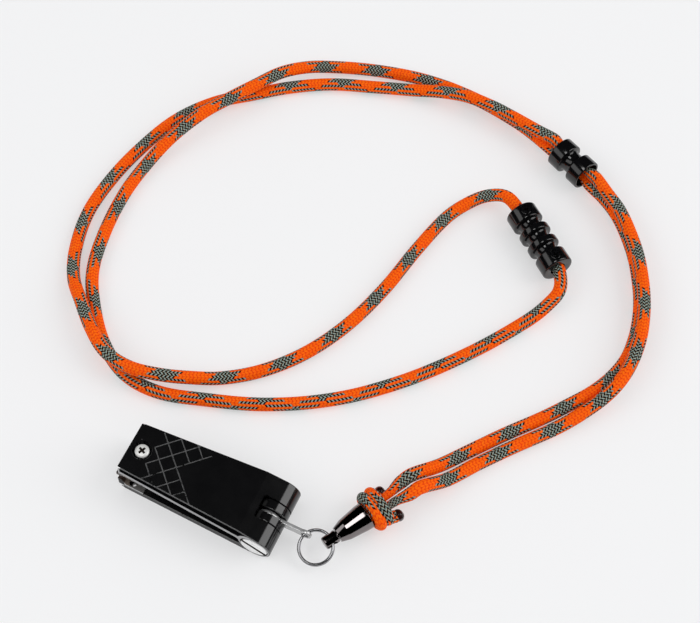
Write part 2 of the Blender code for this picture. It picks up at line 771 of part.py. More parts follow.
def make_connector():
    """The connector: four flanges on one tube, with a set screw through each end flange."""
    end_flange, thin, gap = 4.9, 2.1, 2.7
    edges, low = [], -CONNECTOR_HALF
    for width in (end_flange, thin, thin, end_flange):
        edges.append((low, low + width))
        low += width + gap
    profile = []
    for number in reversed(range(4)):
        low, high = edges[number]
        profile += bevelled_flange(low, high, BEAD_R)
        if number:
            profile += groove(edges[number - 1][1], low, WAIST_R, BEAD_R - 0.6)
    profile += [(CONNECTOR_BORE_R, -CONNECTOR_HALF), (CONNECTOR_BORE_R, CONNECTOR_HALF)]
    tube_piece = turned("connector_tube", profile, CONNECTOR_FRAME, PARTS, steps=28)
    finish(tube_piece, "gloss_black")
    for name, place in (("set_screw_upper", -SET_SCREW_FROM_MIDDLE), ("set_screw_lower", SET_SCREW_FROM_MIDDLE)):
        hole = cylinder(
            name + "_hole", SET_SCREW_R + 0.2, -7, -0.5, "X", (0, 0, place), CONNECTOR_FRAME, CUTTERS, sides=24
        )
        boolean(tube_piece, hole)
        screw = cylinder(name, SET_SCREW_R, -4.6, -2.3, "X", (0, 0, place), CONNECTOR_FRAME, PARTS, sides=24)
        for turn in (45.0, 135.0):
            bm = bmesh.new()
            bmesh.ops.create_cube(bm, size=1.0)
            for vert in bm.verts:
                vert.co = Vector((vert.co.x * 1.6, vert.co.y * 2.0, vert.co.z * 0.5)) * MM
            bmesh.ops.transform(
                bm,
                matrix=Matrix.Translation(Vector((-4.65, 0, place)) * MM) @ Matrix.Rotation(math.radians(turn), 4, "X"),
                verts=bm.verts,
            )
            boolean(screw, from_bmesh(f"{name}_recess_{turn:.0f}", bm, CONNECTOR_FRAME, CUTTERS))
        finish(screw, "gloss_black")


def unit(heading, pitch=0.0):
    flat = math.cos(math.radians(pitch))
    return Vector(
        (
            math.cos(math.radians(heading)) * flat,
            math.sin(math.radians(heading)) * flat,
            math.sin(math.radians(pitch)),
        )
    )


def guided(at, heading, pitch, stops, side, lean=0.0):
    """Points along a straight guide: each stop is (distance along it, distance aside, cord radius).

    lean tips the aside direction up.
    """
    ahead = unit(heading, pitch)
    aside = unit(heading + 90.0, lean)
    return [(at + ahead * s + aside * side * off, radius) for s, off, radius in stops]


# The strands run straight and squeezed through the bead over its whole travel.
THIN = 1.5 + BEAD_TRAVEL + 0.2
IN_BEAD = [
    (-9.3, 2.02, 1.86),
    (-7.8, 1.97, 1.82),
    (-THIN, 1.4, SQUEEZED_R),
    (0.0, 1.4, SQUEEZED_R),
    (THIN, 1.4, SQUEEZED_R),
    (7.8, 1.97, 1.82),
    (9.3, 2.02, 1.86),
]
IN_KNOT = [
    (27.5, 2.15, CORD_R),
    (24.0, 2.05, 1.85),
    (20.5, 1.5, 1.3),
    (17.8, 1.35, SQUEEZED_R),
    (13.0, 1.35, SQUEEZED_R),
    (9.0, 1.35, SQUEEZED_R),
]
IN_CONNECTOR = [(4.9, 0.0, 1.86), (8.2, 0.0, 1.86), (11.8, 0.0, 1.9)]


def smooth(points):
    """A Catmull-Rom curve through (place, radius) points, read more often where it bends."""
    read = []
    last = len(points) - 1
    for i in range(last):
        before, start = points[max(i - 1, 0)][0], points[i][0]
        end, after = points[i + 1][0], points[min(i + 2, last)][0]
        length = (end - start).length
        lead = (end - before) * (length / max((end - before).length, length))
        trail = (after - start) * (length / max((after - start).length, length))
        count = max(1, round(length / CORD_STEP), math.ceil(math.degrees(lead.angle(trail, 0.0)) / CORD_TURN))
        for k in range(count):
            t = k / count
            place = (
                start * (2 * t**3 - 3 * t**2 + 1)
                + lead * (t**3 - 2 * t**2 + t)
                + end * (-2 * t**3 + 3 * t**2)
                + trail * (t**3 - t**2)
            )
            radius = points[i][1] + (points[i + 1][1] - points[i][1]) * t
            place.z = max(place.z, radius + 0.02)
            read.append((place, radius))
    read.append(points[last])
    return read


def strand_points(end_side, first, second, side):
    """One strand's whole route: connector, neck loop, bead, right-hand side, knot and ferrule."""
    heading = CONNECTOR_HEADING if end_side > 0 else CONNECTOR_HEADING + 180.0
    route = guided(CONNECTOR_AT, heading, 0.0, IN_CONNECTOR, 0.0)
    route += [(Vector(place), CORD_R) for place in first]
    route += guided(BEAD_AT, BEAD_HEADING, 0.0, IN_BEAD, side, BEAD_LEAN)
    route += [(Vector(place), CORD_R) for place in second]
    route += guided(STEM_EYE, FERRULE_HEADING, FERRULE_PITCH, IN_KNOT, -side)
    return route


def make_strands():
    # The strand on the bead's near side is the one on the knot's left, seen along the ferrule.
    for name, end_side, first, second, side in (
        ("strand_a", 1, ROUTE_A, ROUTE_A_TO_KNOT, -1),
        ("strand_b", -1, ROUTE_B, ROUTE_B_TO_KNOT, 1),
    ):
        route = strand_points(end_side, first, second, side)
        points = [(place, radius / CORD_R) for place, radius in smooth(route)]
        strand = tube(name, points, CORD_R, None)
        finish(strand, "paracord")


def main():
    make_upper_lever()
    make_lower_lever()
    make_jaws()
    make_jaw_screws()
    make_needle()
    make_axle()
    make_spring()
    make_link()
    make_ring()
    make_stem()
    make_ferrule()
    make_knot()
    make_melted_ends()
    make_bead()
    make_connector()
    make_strands()
    for obj in PARTS.objects:
        if obj.type == "MESH" and not obj.modifiers:
            obj.data.shade_smooth()
            obj.data.set_sharp_from_angle(angle=math.radians(35))


main()
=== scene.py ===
"""The looks of the line nipper on its cord neck lanyard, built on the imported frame."""

import math

import bmesh
import bpy
import numpy as np
from mathutils import Matrix, Vector


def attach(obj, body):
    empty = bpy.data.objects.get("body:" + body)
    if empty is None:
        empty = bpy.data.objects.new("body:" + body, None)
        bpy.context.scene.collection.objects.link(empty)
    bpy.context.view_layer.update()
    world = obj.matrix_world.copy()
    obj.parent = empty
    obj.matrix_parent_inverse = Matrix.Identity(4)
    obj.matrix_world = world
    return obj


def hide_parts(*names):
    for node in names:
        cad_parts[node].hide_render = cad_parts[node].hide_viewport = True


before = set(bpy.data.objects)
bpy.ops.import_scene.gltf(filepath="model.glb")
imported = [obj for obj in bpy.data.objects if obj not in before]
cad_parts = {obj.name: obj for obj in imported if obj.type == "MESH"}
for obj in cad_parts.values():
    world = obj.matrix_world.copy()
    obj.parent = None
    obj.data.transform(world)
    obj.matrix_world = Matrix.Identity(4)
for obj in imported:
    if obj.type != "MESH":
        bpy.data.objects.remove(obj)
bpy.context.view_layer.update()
MM = 0.001

# ---- the CAD's own dimensions, in millimetres
AXLE = Vector((20.0, 0.0, 4.85))
JAW_END = -41.5
HALF_AT_JAWS = 7.15
HALF_AT_AXLE = 9.5
BARREL_R = 4.75
KNUCKLE_ROOM_R = BARREL_R + 0.3
OPEN_DEG = 2.9
UPPER_TOP = 6.05
UPPER_UNDER_JAW = 1.85
UPPER_UNDER_AXLE = 0.5
LOWER_TOP = -2.6
LOWER_UNDER = -4.85
JAW_SEAT = -3.25
JAW_REAR = -34.2
INNER_KNUCKLE = (0.75, 3.15)
OUTER_KNUCKLE = 3.4
POCKET_REAR = -3.0
SLEEVE_R = 2.4
SCREW_SHANK_R = 1.5
HEAD_R = 4.0
HEAD_DEEP = 1.3
HINGE_BORE_R = 2.65
JAW_SCREW_X = -37.85
JAW_SCREW_HOLE_R = 1.25
COUNTERBORE_R = 2.7
NEEDLE = (-38.2, -6.0)
NEEDLE_R = 0.4
NEEDLE_ROOM_R = 0.65
NEEDLE_HOLE = (-38.2, -5.65, 1.25)
SPRING_X = -12.0
SPRING_R = 1.7
SPRING_SEAT_R = 2.4
SPRING_WIRE_R = 0.28
SPRING_TURNS = 5
SPRING_ENDS = (-2.6, 2.95)
LINK_HALF = 0.5
LINK_EYE_R = 1.1
LINK_EYE = Vector((30.6, 0.0, 4.2))
STEM_EYE = Vector((37.5, 1.3, 4.7))
FERRULE_HEADING = 60.0
FERRULE_PITCH = 4.0
STEM_R = 1.8
STEM_HOLE_R = 1.2
STEM_TIP = -2.3
NECK_R = 1.2
FERRULE_START = 1.95
FERRULE_END = 11.3
FERRULE_R = 3.8
CAVITY_R = 2.75
KNOT_START = 11.6
KNOT_END = 17.0
KNOT_R = 6.0
KNOT_FLATTEN = 0.8
GAP_END = 0.25
RING_R = 4.6
RING_PITCH = 0.8
RING_TILT = 13.0
RING_WIRE_R = 0.38
RING_HALF_TURNS = 0.98
BEAD_AT = Vector((51.9, 141.3, 4.8))
BEAD_HEADING = -25.7
BEAD_R = 4.75
WAIST_R = 3.3
BEAD_HALF = 6.0
BEAD_LEAN = 75.0
MOUTH_R = 4.05
SLOT_TURN = 27.0
CONNECTOR_AT = Vector((52.8, 111.35, 4.8))
CONNECTOR_HEADING = -38.7
CONNECTOR_HALF = 11.05
CONNECTOR_BORE_R = 2.25
SET_SCREW_FROM_MIDDLE = 8.6
SET_SCREW_R = 1.5
SET_SCREW_FACE = 4.55
CORD_R = 1.92
CORD_Z = 1.97
SQUEEZED_R = 1.18

# A strand's places: (x, y) where it lies on the floor, and (x, y, z) where it is lifted.
ROUTE_A = [
    (64.3, 98.5, 4.3), (63.0, 93.5, 3.0), (59.5, 86.5), (49.5, 71.0), (36.0, 54.5), (21.0, 41.0),
    (4.0, 31.0), (-14.0, 24.5), (-26.0, 21.5), (-36.5, 22.5), (-46.0, 28.0), (-54.5, 37.0), (-61.5, 48.0),
    (-65.0, 61.0), (-66.5, 76.0), (-65.5, 88.0, 2.4), (-62.5, 99.0, 4.4), (-57.5, 110.0, 6.1),
    (-52.5, 118.5, 6.3), (-47.5, 126.5, 6.3), (-42.5, 134.5, 5.9), (-36.5, 141.0, 4.3),
    (-29.0, 146.0, 2.6), (-19.0, 150.0), (-6.0, 153.0), (5.0, 153.9), (13.8, 153.5), (19.8, 152.7),
    (25.8, 151.5), (32.1, 149.9), (37.4, 147.9, 2.2),
]
ROUTE_B = [
    (38.3, 121.6, 4.7), (33.0, 120.6, 3.3), (28.5, 116.5, 2.2), (24.5, 109.0), (21.0, 95.0), (18.0, 79.0),
    (13.5, 64.0), (7.0, 51.0), (-1.5, 40.5), (-11.0, 33.0, 2.3), (-19.5, 28.3, 3.9), (-27.5, 24.8, 5.6),
    (-35.5, 23.3, 6.2), (-43.5, 24.8, 6.2), (-51.0, 29.8, 6.0), (-58.0, 36.3, 5.3), (-65.0, 43.5, 3.2),
    (-70.0, 53.0), (-73.0, 66.0), (-72.5, 80.0), (-70.0, 93.0), (-65.5, 106.5), (-58.0, 117.5),
    (-48.5, 125.5), (-39.0, 133.0), (-28.0, 139.5), (-14.0, 144.5, 2.2), (-3.5, 147.6, 2.9),
    (5.0, 149.6, 4.3), (13.5, 150.4, 5.7), (22.1, 149.9, 6.0), (28.3, 149.0, 6.0), (33.9, 147.9, 6.1),
    (38.5, 146.8, 6.4),
]
ROUTE_A_TO_KNOT = [
    (64.6, 134.9, 2.3), (70.0, 131.2), (75.5, 125.2), (80.0, 119.0), (83.7, 112.2), (86.3, 106.3),
    (88.2, 100.0), (89.3, 93.5), (89.4, 86.5), (87.8, 79.8), (84.5, 72.8), (79.8, 66.0), (74.55, 59.05),
    (67.2, 50.3), (60.25, 41.3, 2.1), (54.8, 33.5, 3.4),
]
ROUTE_B_TO_KNOT = [
    (65.2, 134.3, 6.4), (71.0, 130.0, 6.1), (76.6, 123.7, 6.0), (81.2, 117.3, 6.0), (85.0, 110.3, 6.0),
    (87.5, 104.6, 6.0), (89.4, 98.8, 6.0), (90.8, 92.5, 5.95), (91.3, 86.0, 5.9), (90.8, 79.3, 5.6),
    (88.9, 72.9, 4.7), (85.2, 66.3, 3.2), (79.8, 58.6, 2.1), (70.8, 47.8), (63.7, 38.7, 2.1),
    (58.3, 30.5, 3.4),
]
THIN = 4.7
# Along each guide: (how far along, how far to the side, the cord's radius).
IN_BEAD = [
    (-9.3, 2.02, 1.86), (-7.8, 1.97, 1.82), (-THIN, 1.4, SQUEEZED_R), (0.0, 1.4, SQUEEZED_R),
    (THIN, 1.4, SQUEEZED_R), (7.8, 1.97, 1.82), (9.3, 2.02, 1.86),
]
IN_KNOT = [
    (27.5, 2.15, CORD_R), (24.0, 2.05, 1.85), (20.5, 1.5, 1.3), (17.8, 1.35, SQUEEZED_R),
    (13.0, 1.35, SQUEEZED_R), (9.0, 1.35, SQUEEZED_R),
]
IN_CONNECTOR = [(4.9, 0.0, 1.86), (8.2, 0.0, 1.86), (11.8, 0.0, 1.9)]


# ---- values that only the looks use
WORLD = Matrix.Identity(4)
STAGE_MIDDLE = Vector((0.01, 0.07, 0.0))
LIGHT_DISTANCE = 2.0
FLOOR_REACH = 3000.0
FLOOR_Z = -0.00002
CARRIERS = 16  # pairs of yarns that run each way round the sleeve
TURN_MM = 16.8  # one yarn's length of cord per turn
DARK_PAIRS = 7
TWIST_MM = 260.0
WRAP_R = 1.88
WRAP_INSET = 1.9
GROOVE_DEEP = 0.2
GROOVE_HALF = 0.28
FLAT_SHARP = 30.0  # corners of more degrees than this stay sharp
RIB_SHARP = 38
CORD_SHARP = 80


# ---- camera, light and floor
def added(name, data, placed=WORLD):
    obj = bpy.data.objects.new(name, data)
    bpy.context.scene.collection.objects.link(obj)
    obj.matrix_world = placed
    return obj


def new_mesh(name, verts, faces):
    mesh = bpy.data.meshes.new(name)
    mesh.from_pydata([tuple(c * MM for c in v) for v in verts], [], faces)
    return mesh


def make_camera():
    data = bpy.data.cameras.new("camera")
    data.sensor_width = 36.0
    data.lens = 82.3
    data.clip_start, data.clip_end = 0.01, 10.0
    camera = added("camera", data)
    at, target = Vector((109.0, -140.7, 400.1)) * MM, Vector((11.6, 68.7, 0.0)) * MM
    camera.location = at
    camera.rotation_euler = (target - at).to_track_quat("-Z", "Y").to_euler()
    bpy.context.scene.camera = camera


def softbox(name, towards, along, size, radiance):
    """A far rectangular light in a direction from the object, with its first side along the given one."""
    data = bpy.data.lights.new(name, "AREA")
    data.shape = "RECTANGLE"
    data.size, data.size_y = size
    data.energy = radiance * math.pi * size[0] * size[1]
    z = Vector(towards).normalized()
    x = (Vector(along) - z * z.dot(Vector(along))).normalized()
    turn = Matrix((x, z.cross(x), z)).transposed().to_4x4()
    return added(name, data, Matrix.Translation(STAGE_MIDDLE + z * LIGHT_DISTANCE) @ turn)


def make_stage():
    world = bpy.data.worlds.new("studio")
    bpy.context.scene.world = world
    world.use_nodes = True
    sky = world.node_tree.nodes["Background"]
    sky.inputs["Color"].default_value = (0.97, 0.98, 1.0, 1.0)
    sky.inputs["Strength"].default_value = 0.7
    world.cycles_visibility.glossy = False
    softbox("front_left", (-0.60, -0.44, 0.66), (0.6, -0.8, 0.0), (1.9, 1.0), 1.3)
    softbox("right", (0.737, 0.33, 0.59), (0.61, 0.0, -0.64), (1.76, 1.15), 2.4)
    strip = softbox("overhead_strip", (-0.017, -0.132, 0.964), (0.833, -0.456, -0.315), (1.25, 0.5), 5.0)
    strip.visible_diffuse = False
    corners = [(x * FLOOR_REACH, y * FLOOR_REACH, 0) for x, y in ((-1, -1), (1, -1), (1, 1), (-1, 1))]
    floor = new_mesh("floor", corners, [(0, 1, 2, 3)])
    paper = Shader("floor_paper")
    paper.put(paper.base.inputs["Emission Color"], (1.0, 1.0, 1.0, 1.0))
    paper.put(paper.base.inputs["Emission Strength"], 0.455)
    floor.materials.append(paper.surface((0.45, 0.45, 0.453, 1.0), 0.7, specular=0.15))
    added("floor", floor, Matrix.Translation((0.0, 0.0, FLOOR_Z)))
    view = bpy.context.scene.view_settings
    view.view_transform = "Standard"
    view.look = "None"


# ---- materials
class Shader:
    """A Principled material and short names for the nodes that feed it."""

    def __init__(self, name):
        self.mat = bpy.data.materials.new(name)
        self.mat.use_nodes = True
        self.tree = self.mat.node_tree
        self.base = self.tree.nodes["Principled BSDF"]

    def put(self, socket, value):
        """Links or sets an input. A colour of three channels is sRGB, and one of four is linear."""
        if isinstance(value, bpy.types.NodeSocket):
            self.tree.links.new(value, socket)
        else:
            socket.default_value = colour(value) if isinstance(value, tuple) and len(value) == 3 else value

    def node(self, kind, *values, **settings):
        """A new node with these settings, and with its first inputs filled in."""
        node = self.tree.nodes.new("ShaderNode" + kind)
        for name, setting in settings.items():
            setattr(node, name, setting)
        for socket, value in zip(node.inputs, values):
            self.put(socket, value)
        return node

    def math(self, operation, *values):
        return self.node("Math", *values, operation=operation).outputs[0]

    def plus(self, a, b):
        return self.math("ADD", a, b)

    def minus(self, a, b):
        return self.math("SUBTRACT", a, b)

    def times(self, a, b):
        return self.math("MULTIPLY", a, b)

    def reach(self, a, b):
        return self.math("SQRT", self.plus(self.times(a, a), self.times(b, b)))

    def mix(self, share, first, second, blend="MIX"):
        node = self.node("Mix", share, data_type="RGBA", blend_type=blend)
        self.put(node.inputs[6], first)
        self.put(node.inputs[7], second)
        return node.outputs[2]

    def ramp(self, value, low, high, out_low=0.0, out_high=1.0):
        return self.node("MapRange", value, low, high, out_low, out_high).outputs[0]

    def spread(self, noise, low, high):
        """low to high, over a noise's usual range."""
        return self.ramp(noise, 0.3, 0.7, low, high)

    def place(self, scale=(1.0, 1.0, 1.0), kind="Object"):
        node = self.node("Mapping", self.node("TexCoord").outputs[kind])
        node.inputs["Scale"].default_value = scale
        return node.outputs[0]

    def split(self, vector):
        return self.node("SeparateXYZ", vector).outputs

    def noise(self, scale, detail=3.0, roughness=0.5, stretch=(1.0, 1.0, 1.0)):
        node = self.node("TexNoise", self.place(stretch))
        for name, value in (("Scale", scale), ("Detail", detail), ("Roughness", roughness)):
            node.inputs[name].default_value = value
        return node.outputs[0]

    def specks(self, scale, size, area_scale, area):
        """Small dots, only where a slower noise is above area."""
        cells = self.node("TexVoronoi", self.place())
        cells.inputs["Scale"].default_value = scale
        dots = self.math("LESS_THAN", cells.outputs[0], size)
        return self.times(dots, self.math("GREATER_THAN", self.noise(area_scale, 2.0), area))

    def bump(self, height, distance, strength):
        node = self.node("Bump", strength, distance)
        self.put(node.inputs["Height"], height)
        self.put(self.base.inputs["Normal"], node.outputs[0])

    def surface(self, base, roughness, metallic=0.0, specular=0.5):
        inputs = self.base.inputs
        self.put(inputs["Base Color"], base)
        self.put(inputs["Roughness"], roughness)
        self.put(inputs["Metallic"], metallic)
        self.put(inputs["Specular IOR Level"], specular)
        return self.mat


def colour(channels):
    """An sRGB colour of 0 to 255, as linear light."""
    return tuple((c / 255) ** 2.2 for c in channels) + (1.0,)


def anodised():
    """Black anodised aluminium: satin, with a fine grain and a few pale specks."""
    s = Shader("black_anodised")
    patches = s.noise(220, 4.0, 0.6)
    base = s.mix(patches, (0.003, 0.003, 0.0033, 1), (0.0056, 0.0056, 0.006, 1))
    base = s.mix(s.specks(420, 0.05, 90, 0.6), base, (0.10, 0.10, 0.10, 1))
    s.bump(s.noise(9000, 2.0), 0.000004, 0.3)
    return s.surface(base, s.spread(patches, 0.12, 0.15), specular=0.75)


def wear_and_painted_highlights(name, far, near, tones):
    """An edge rubbed through to metal of two greys, with a painted white glint on the jaw end's corners.

    The share rubbed bare goes from near, on the front side, to far.
    """
    s = Shader(name)
    x, y, _ = s.split(s.place())
    fine = s.noise(1500, 3.0, 0.6)
    level = s.plus(s.times(s.noise(170, 5.0, 0.65, stretch=(1.0, 1.6, 1.6)), 0.75), s.times(fine, 0.25))
    # Where the far share is the higher, as on the grip grooves, the brighter far half is a painted highlight.
    share = s.ramp(y, -0.006, 0.001, near, far)
    mask = s.ramp(s.plus(level, s.times(share, 0.35)), 0.655, 0.725)
    corner = s.reach(s.minus(s.math("ABSOLUTE", y), HALF_AT_JAWS * MM), s.minus(x, JAW_END * MM))
    # A painted glint: the jaw end's corners are drawn as near-white bare metal.
    corner_glint = s.ramp(s.plus(corner, s.times(fine, 0.0006)), 0.0011, 0.0013, 1.0, 0.0)
    mask = s.math("MAXIMUM", mask, corner_glint)
    silver = s.mix(corner_glint, s.mix(fine, (tones[0],) * 3, (tones[1],) * 3), (250, 250, 250))
    s.bump(fine, 0.00002, 0.4)
    base = s.mix(mask, (0.004, 0.004, 0.0045, 1), silver)
    return s.surface(base, s.ramp(mask, 0.0, 1.0, 0.33, 0.5), s.times(mask, 0.5), 0.3)


def lever_side(name, gloss, low=0.0, tall=0.0, slope=0.0, start=None):
    """A side face: matt black, with bare metal round the hinge.

    With tall, the metal is also bare at the jaw end, and up to that height over low, a line that rises with
    slope. Nothing is bare ahead of start.
    """
    s = Shader(name)
    x, _, z = s.split(s.place())
    fine = s.noise(1500, 3.0, 0.6)
    mask = s.ramp(s.reach(x, z), 0.00515, 0.0053, 1.0, 0.0)
    if tall:
        band = s.plus(s.minus(z, s.times(x, slope)), s.times(fine, 0.0001))
        band = s.ramp(band, (low + tall) * MM, (low + tall + 0.08) * MM, 1.0, 0.0)
        front = s.ramp(x, (JAW_END + 0.5) * MM, (JAW_END + 0.7) * MM, 1.0, 0.0)
        mask = s.math("MAXIMUM", s.math("MAXIMUM", mask, band), front)
    if start:
        mask = s.times(mask, s.ramp(x, (start - 0.1) * MM, (start + 0.1) * MM))
    silver = s.mix(s.noise(300), (146, 146, 148), (192, 192, 192))
    s.bump(fine, 0.00001, 0.4)
    base = s.mix(mask, (0.002, 0.002, 0.0023, 1), silver)
    return s.surface(base, s.ramp(mask, 0.0, 1.0, 0.5, 0.36), s.times(mask, 0.7), gloss)


def nickel(name, tint, rough, metallic=1.0):
    """Nickel plate with fine hairlines and a little dirt."""
    s = Shader(name)
    clouds = s.noise(260, 4.0, 0.6)
    dirt = s.ramp(s.noise(700, 4.0, 0.7), 0.62, 0.74)
    s.bump(s.noise(5200, 2.0, stretch=(1.0, 0.06, 1.0)), 0.000006, 0.5)
    return s.surface(s.mix(dirt, tint, (120, 114, 106)), s.spread(clouds, *rough), metallic)


def screw_steel():
    """A bright zinc-plated screw: paler and duller than nickel."""
    s = Shader("zinc_screw")
    clouds = s.noise(900, 4.0, 0.6)
    s.bump(s.noise(4000), 0.00001, 0.4)
    return s.surface(s.mix(clouds, (214, 213, 208), (245, 245, 242)), s.spread(clouds, 0.32, 0.46), 0.3)


def recess_painted_shade():
    # Painted shade: the screw recesses and the hinge slots are coloured dark.
    s = Shader("screw_recess_painted_shade")
    return s.surface(s.mix(s.noise(1500), (30, 26, 22), (74, 60, 48)), 0.5, 0.4)


def jaw_steel():
    """Ground steel, grey behind and burnt brown towards the cutting lip."""
    s = Shader("jaw_steel")
    x = s.split(s.place())[0]
    grain = s.noise(7000, stretch=(0.08, 1.0, 1.0))
    mottle = s.noise(420, 5.0, 0.65)
    lip = s.ramp(s.plus(x, s.times(mottle, 0.0008)), -0.0399, -0.0397, 1.0, 0.0)
    burnt = s.ramp(s.plus(x, s.times(mottle, 0.001)), -0.0386, -0.0383, 1.0, 0.0)
    grey = s.mix(grain, (90, 89, 87), (126, 124, 121))
    beige = s.mix(grain, (92, 80, 71), (158, 145, 133))
    brown = s.mix(s.ramp(mottle, 0.35, 0.65), (22, 15, 12), (64, 48, 40))
    s.bump(grain, 0.00001, 0.5)
    return s.surface(s.mix(lip, s.mix(burnt, grey, beige), brown), s.spread(mottle, 0.3, 0.48), 0.3)


def gunmetal():
    """Polished dark nickel plate."""
    s = Shader("gunmetal")
    clouds = s.noise(300, 4.0, 0.6)
    s.bump(s.noise(3000, 2.0, stretch=(1.0, 1.0, 0.05)), 0.000004, 0.5)
    return s.surface(s.mix(clouds, (118, 112, 112), (136, 130, 130)), s.spread(clouds, 0.04, 0.09), 1.0)


def spring_steel():
    s = Shader("spring_wire")
    clouds = s.noise(1400)
    return s.surface(s.mix(clouds, (120, 120, 122), (170, 170, 172)), s.spread(clouds, 0.25, 0.4), 1.0)


def gloss_black(name):
    """Moulded gloss plastic, with faint flow marks, hairline scuffs and a little dust."""
    s = Shader(name)
    base = s.mix(s.specks(900, 0.055, 150, 0.58), (0.0035, 0.0035, 0.004, 1), (0.09, 0.09, 0.09, 1))
    scuffs = s.noise(2600, 4.0, 0.6, stretch=(1.0, 1.0, 0.12))
    s.bump(s.noise(130, 2.0), 0.00004, 0.25)
    return s.surface(base, s.ramp(scuffs, 0.35, 0.75, 0.07, 0.19), specular=0.62)


def paracord():
    """A braided sleeve. The UV map holds millimetres along the cord and turns round it.

    Sixteen pairs of yarns run each way. Columns along the cord show one way's pairs and the other's in turn.
    Neighbouring dark pairs each way make dark diamonds where they meet, and rows of flecks where only one
    of them shows.
    """
    s = Shader("orange_camouflage_paracord")
    run, around, _ = s.split(s.place(kind="UV"))
    climb = s.times(run, CARRIERS / TURN_MM)
    ends = s.times(around, float(CARRIERS))
    across = s.math("FRACT", ends)
    # Within a column the yarns lie steeper than the helix, as their floats are pulled round.
    turned_yarn = s.plus(s.minus(ends, s.times(across, 0.5)), 0.25)
    right, left = s.plus(turned_yarn, climb), s.minus(turned_yarn, climb)
    shows_right = s.math("LESS_THAN", s.math("FRACT", s.times(around, CARRIERS / 2.0)), 0.5)

    def chosen(rule):
        return s.plus(s.times(shows_right, rule(right)), s.times(s.minus(1.0, shows_right), rule(left)))

    def is_dark(yarn):
        number = s.math("FLOORED_MODULO", s.math("FLOOR", yarn), float(CARRIERS))
        return s.math("LESS_THAN", number, DARK_PAIRS - 0.5)

    def wave(value, halves=1.0):
        return s.math("SINE", s.times(value, halves * math.pi))

    dark = chosen(is_dark)
    within = chosen(lambda yarn: s.math("FRACT", yarn))
    height = s.math("POWER", s.times(wave(within), s.math("POWER", wave(across), 0.5)), 0.6)
    flecks = s.noise(900, 3.0, 0.6)
    orange = s.mix(flecks, (255, 72, 0), (255, 124, 0))
    black_yarn = s.mix(flecks, (3, 8, 8), (16, 26, 24))
    grey_yarn = s.mix(flecks, (106, 130, 122), (172, 186, 178))
    shown = s.mix(dark, orange, s.mix(s.ramp(wave(within, 2.0), -0.1, 0.3), black_yarn, grey_yarn))
    # Painted shade: the valleys between the yarns are darkened and reddened.
    painted_valley_shade = s.mix(s.ramp(height, 0.22, 0.7), (0.78, 0.30, 0.12, 1), (1, 1, 1, 1))
    s.bump(height, 0.00016, 0.7)
    return s.surface(s.mix(1.0, shown, painted_valley_shade, "MULTIPLY"), 0.62, specular=0.08)


def melted():
    """Nylon melted to a dark bead: glossy, lumpy, with some of the orange left in it."""
    s = Shader("melted_nylon")
    lumps = s.noise(420, 3.0, 0.6)
    left = s.ramp(s.noise(260), 0.58, 0.72)
    s.bump(lumps, 0.0003, 0.7)
    base = s.mix(left, s.mix(lumps, (14, 8, 8), (52, 16, 12)), (150, 40, 10))
    return s.surface(base, s.spread(lumps, 0.12, 0.35))


# ---- mesh tools
def along(heading, pitch=0.0):
    up = Matrix.Rotation(math.radians(90.0 - pitch), 4, "Y")
    return Matrix.Rotation(math.radians(heading), 4, "Z") @ up


def frame_at(place, turn=WORLD):
    return Matrix.Translation(place * MM) @ turn


UPPER = frame_at(AXLE, Matrix.Rotation(math.radians(OPEN_DEG), 4, "Y"))
LOWER = frame_at(AXLE)
FERRULE = frame_at(STEM_EYE, along(FERRULE_HEADING, FERRULE_PITCH))
BEAD = frame_at(BEAD_AT, along(BEAD_HEADING))
CONNECTOR = frame_at(CONNECTOR_AT, along(CONNECTOR_HEADING))


def new_object(name, verts, faces, placed):
    mesh = new_mesh(name, verts, faces)
    bm = bmesh.new()
    bm.from_mesh(mesh)
    bmesh.ops.remove_doubles(bm, verts=bm.verts, dist=1e-8)
    bmesh.ops.triangulate(bm, faces=[f for f in bm.faces if len(f.verts) > 4])
    bmesh.ops.recalc_face_normals(bm, faces=bm.faces)
    bm.to_mesh(mesh)
    bm.free()
    return added(name, mesh, placed)


def rounded(points, closed=True, cuts=4):
    """Fillets the corners of a flat outline. A point is (a, b) for a sharp corner or (a, b, radius)."""
    made, count = [], len(points)
    for i, point in enumerate(points):
        here = Vector(point[:2])
        radius = point[2] if len(point) > 2 else 0.0
        if radius <= 0 or (not closed and i in (0, count - 1)):
            made.append(tuple(here))
            continue
        back, ahead = Vector(points[i - 1][:2]) - here, Vector(points[(i + 1) % count][:2]) - here
        angle = back.angle(ahead)
        reach = min(radius / math.tan(angle / 2), 0.49 * back.length, 0.49 * ahead.length)
        radius = reach * math.tan(angle / 2)
        start, end = here + back.normalized() * reach, here + ahead.normalized() * reach
        centre = here + (back.normalized() + ahead.normalized()).normalized() * (radius / math.sin(angle / 2))
        first = math.atan2(start.y - centre.y, start.x - centre.x)
        sweep = math.atan2(end.y - centre.y, end.x - centre.x) - first
        sweep = (sweep + math.pi) % (2 * math.pi) - math.pi
        for k in range(cuts + 1):
            turn = first + sweep * k / cuts
            made.append((centre.x + radius * math.cos(turn), centre.y + radius * math.sin(turn)))
    return made


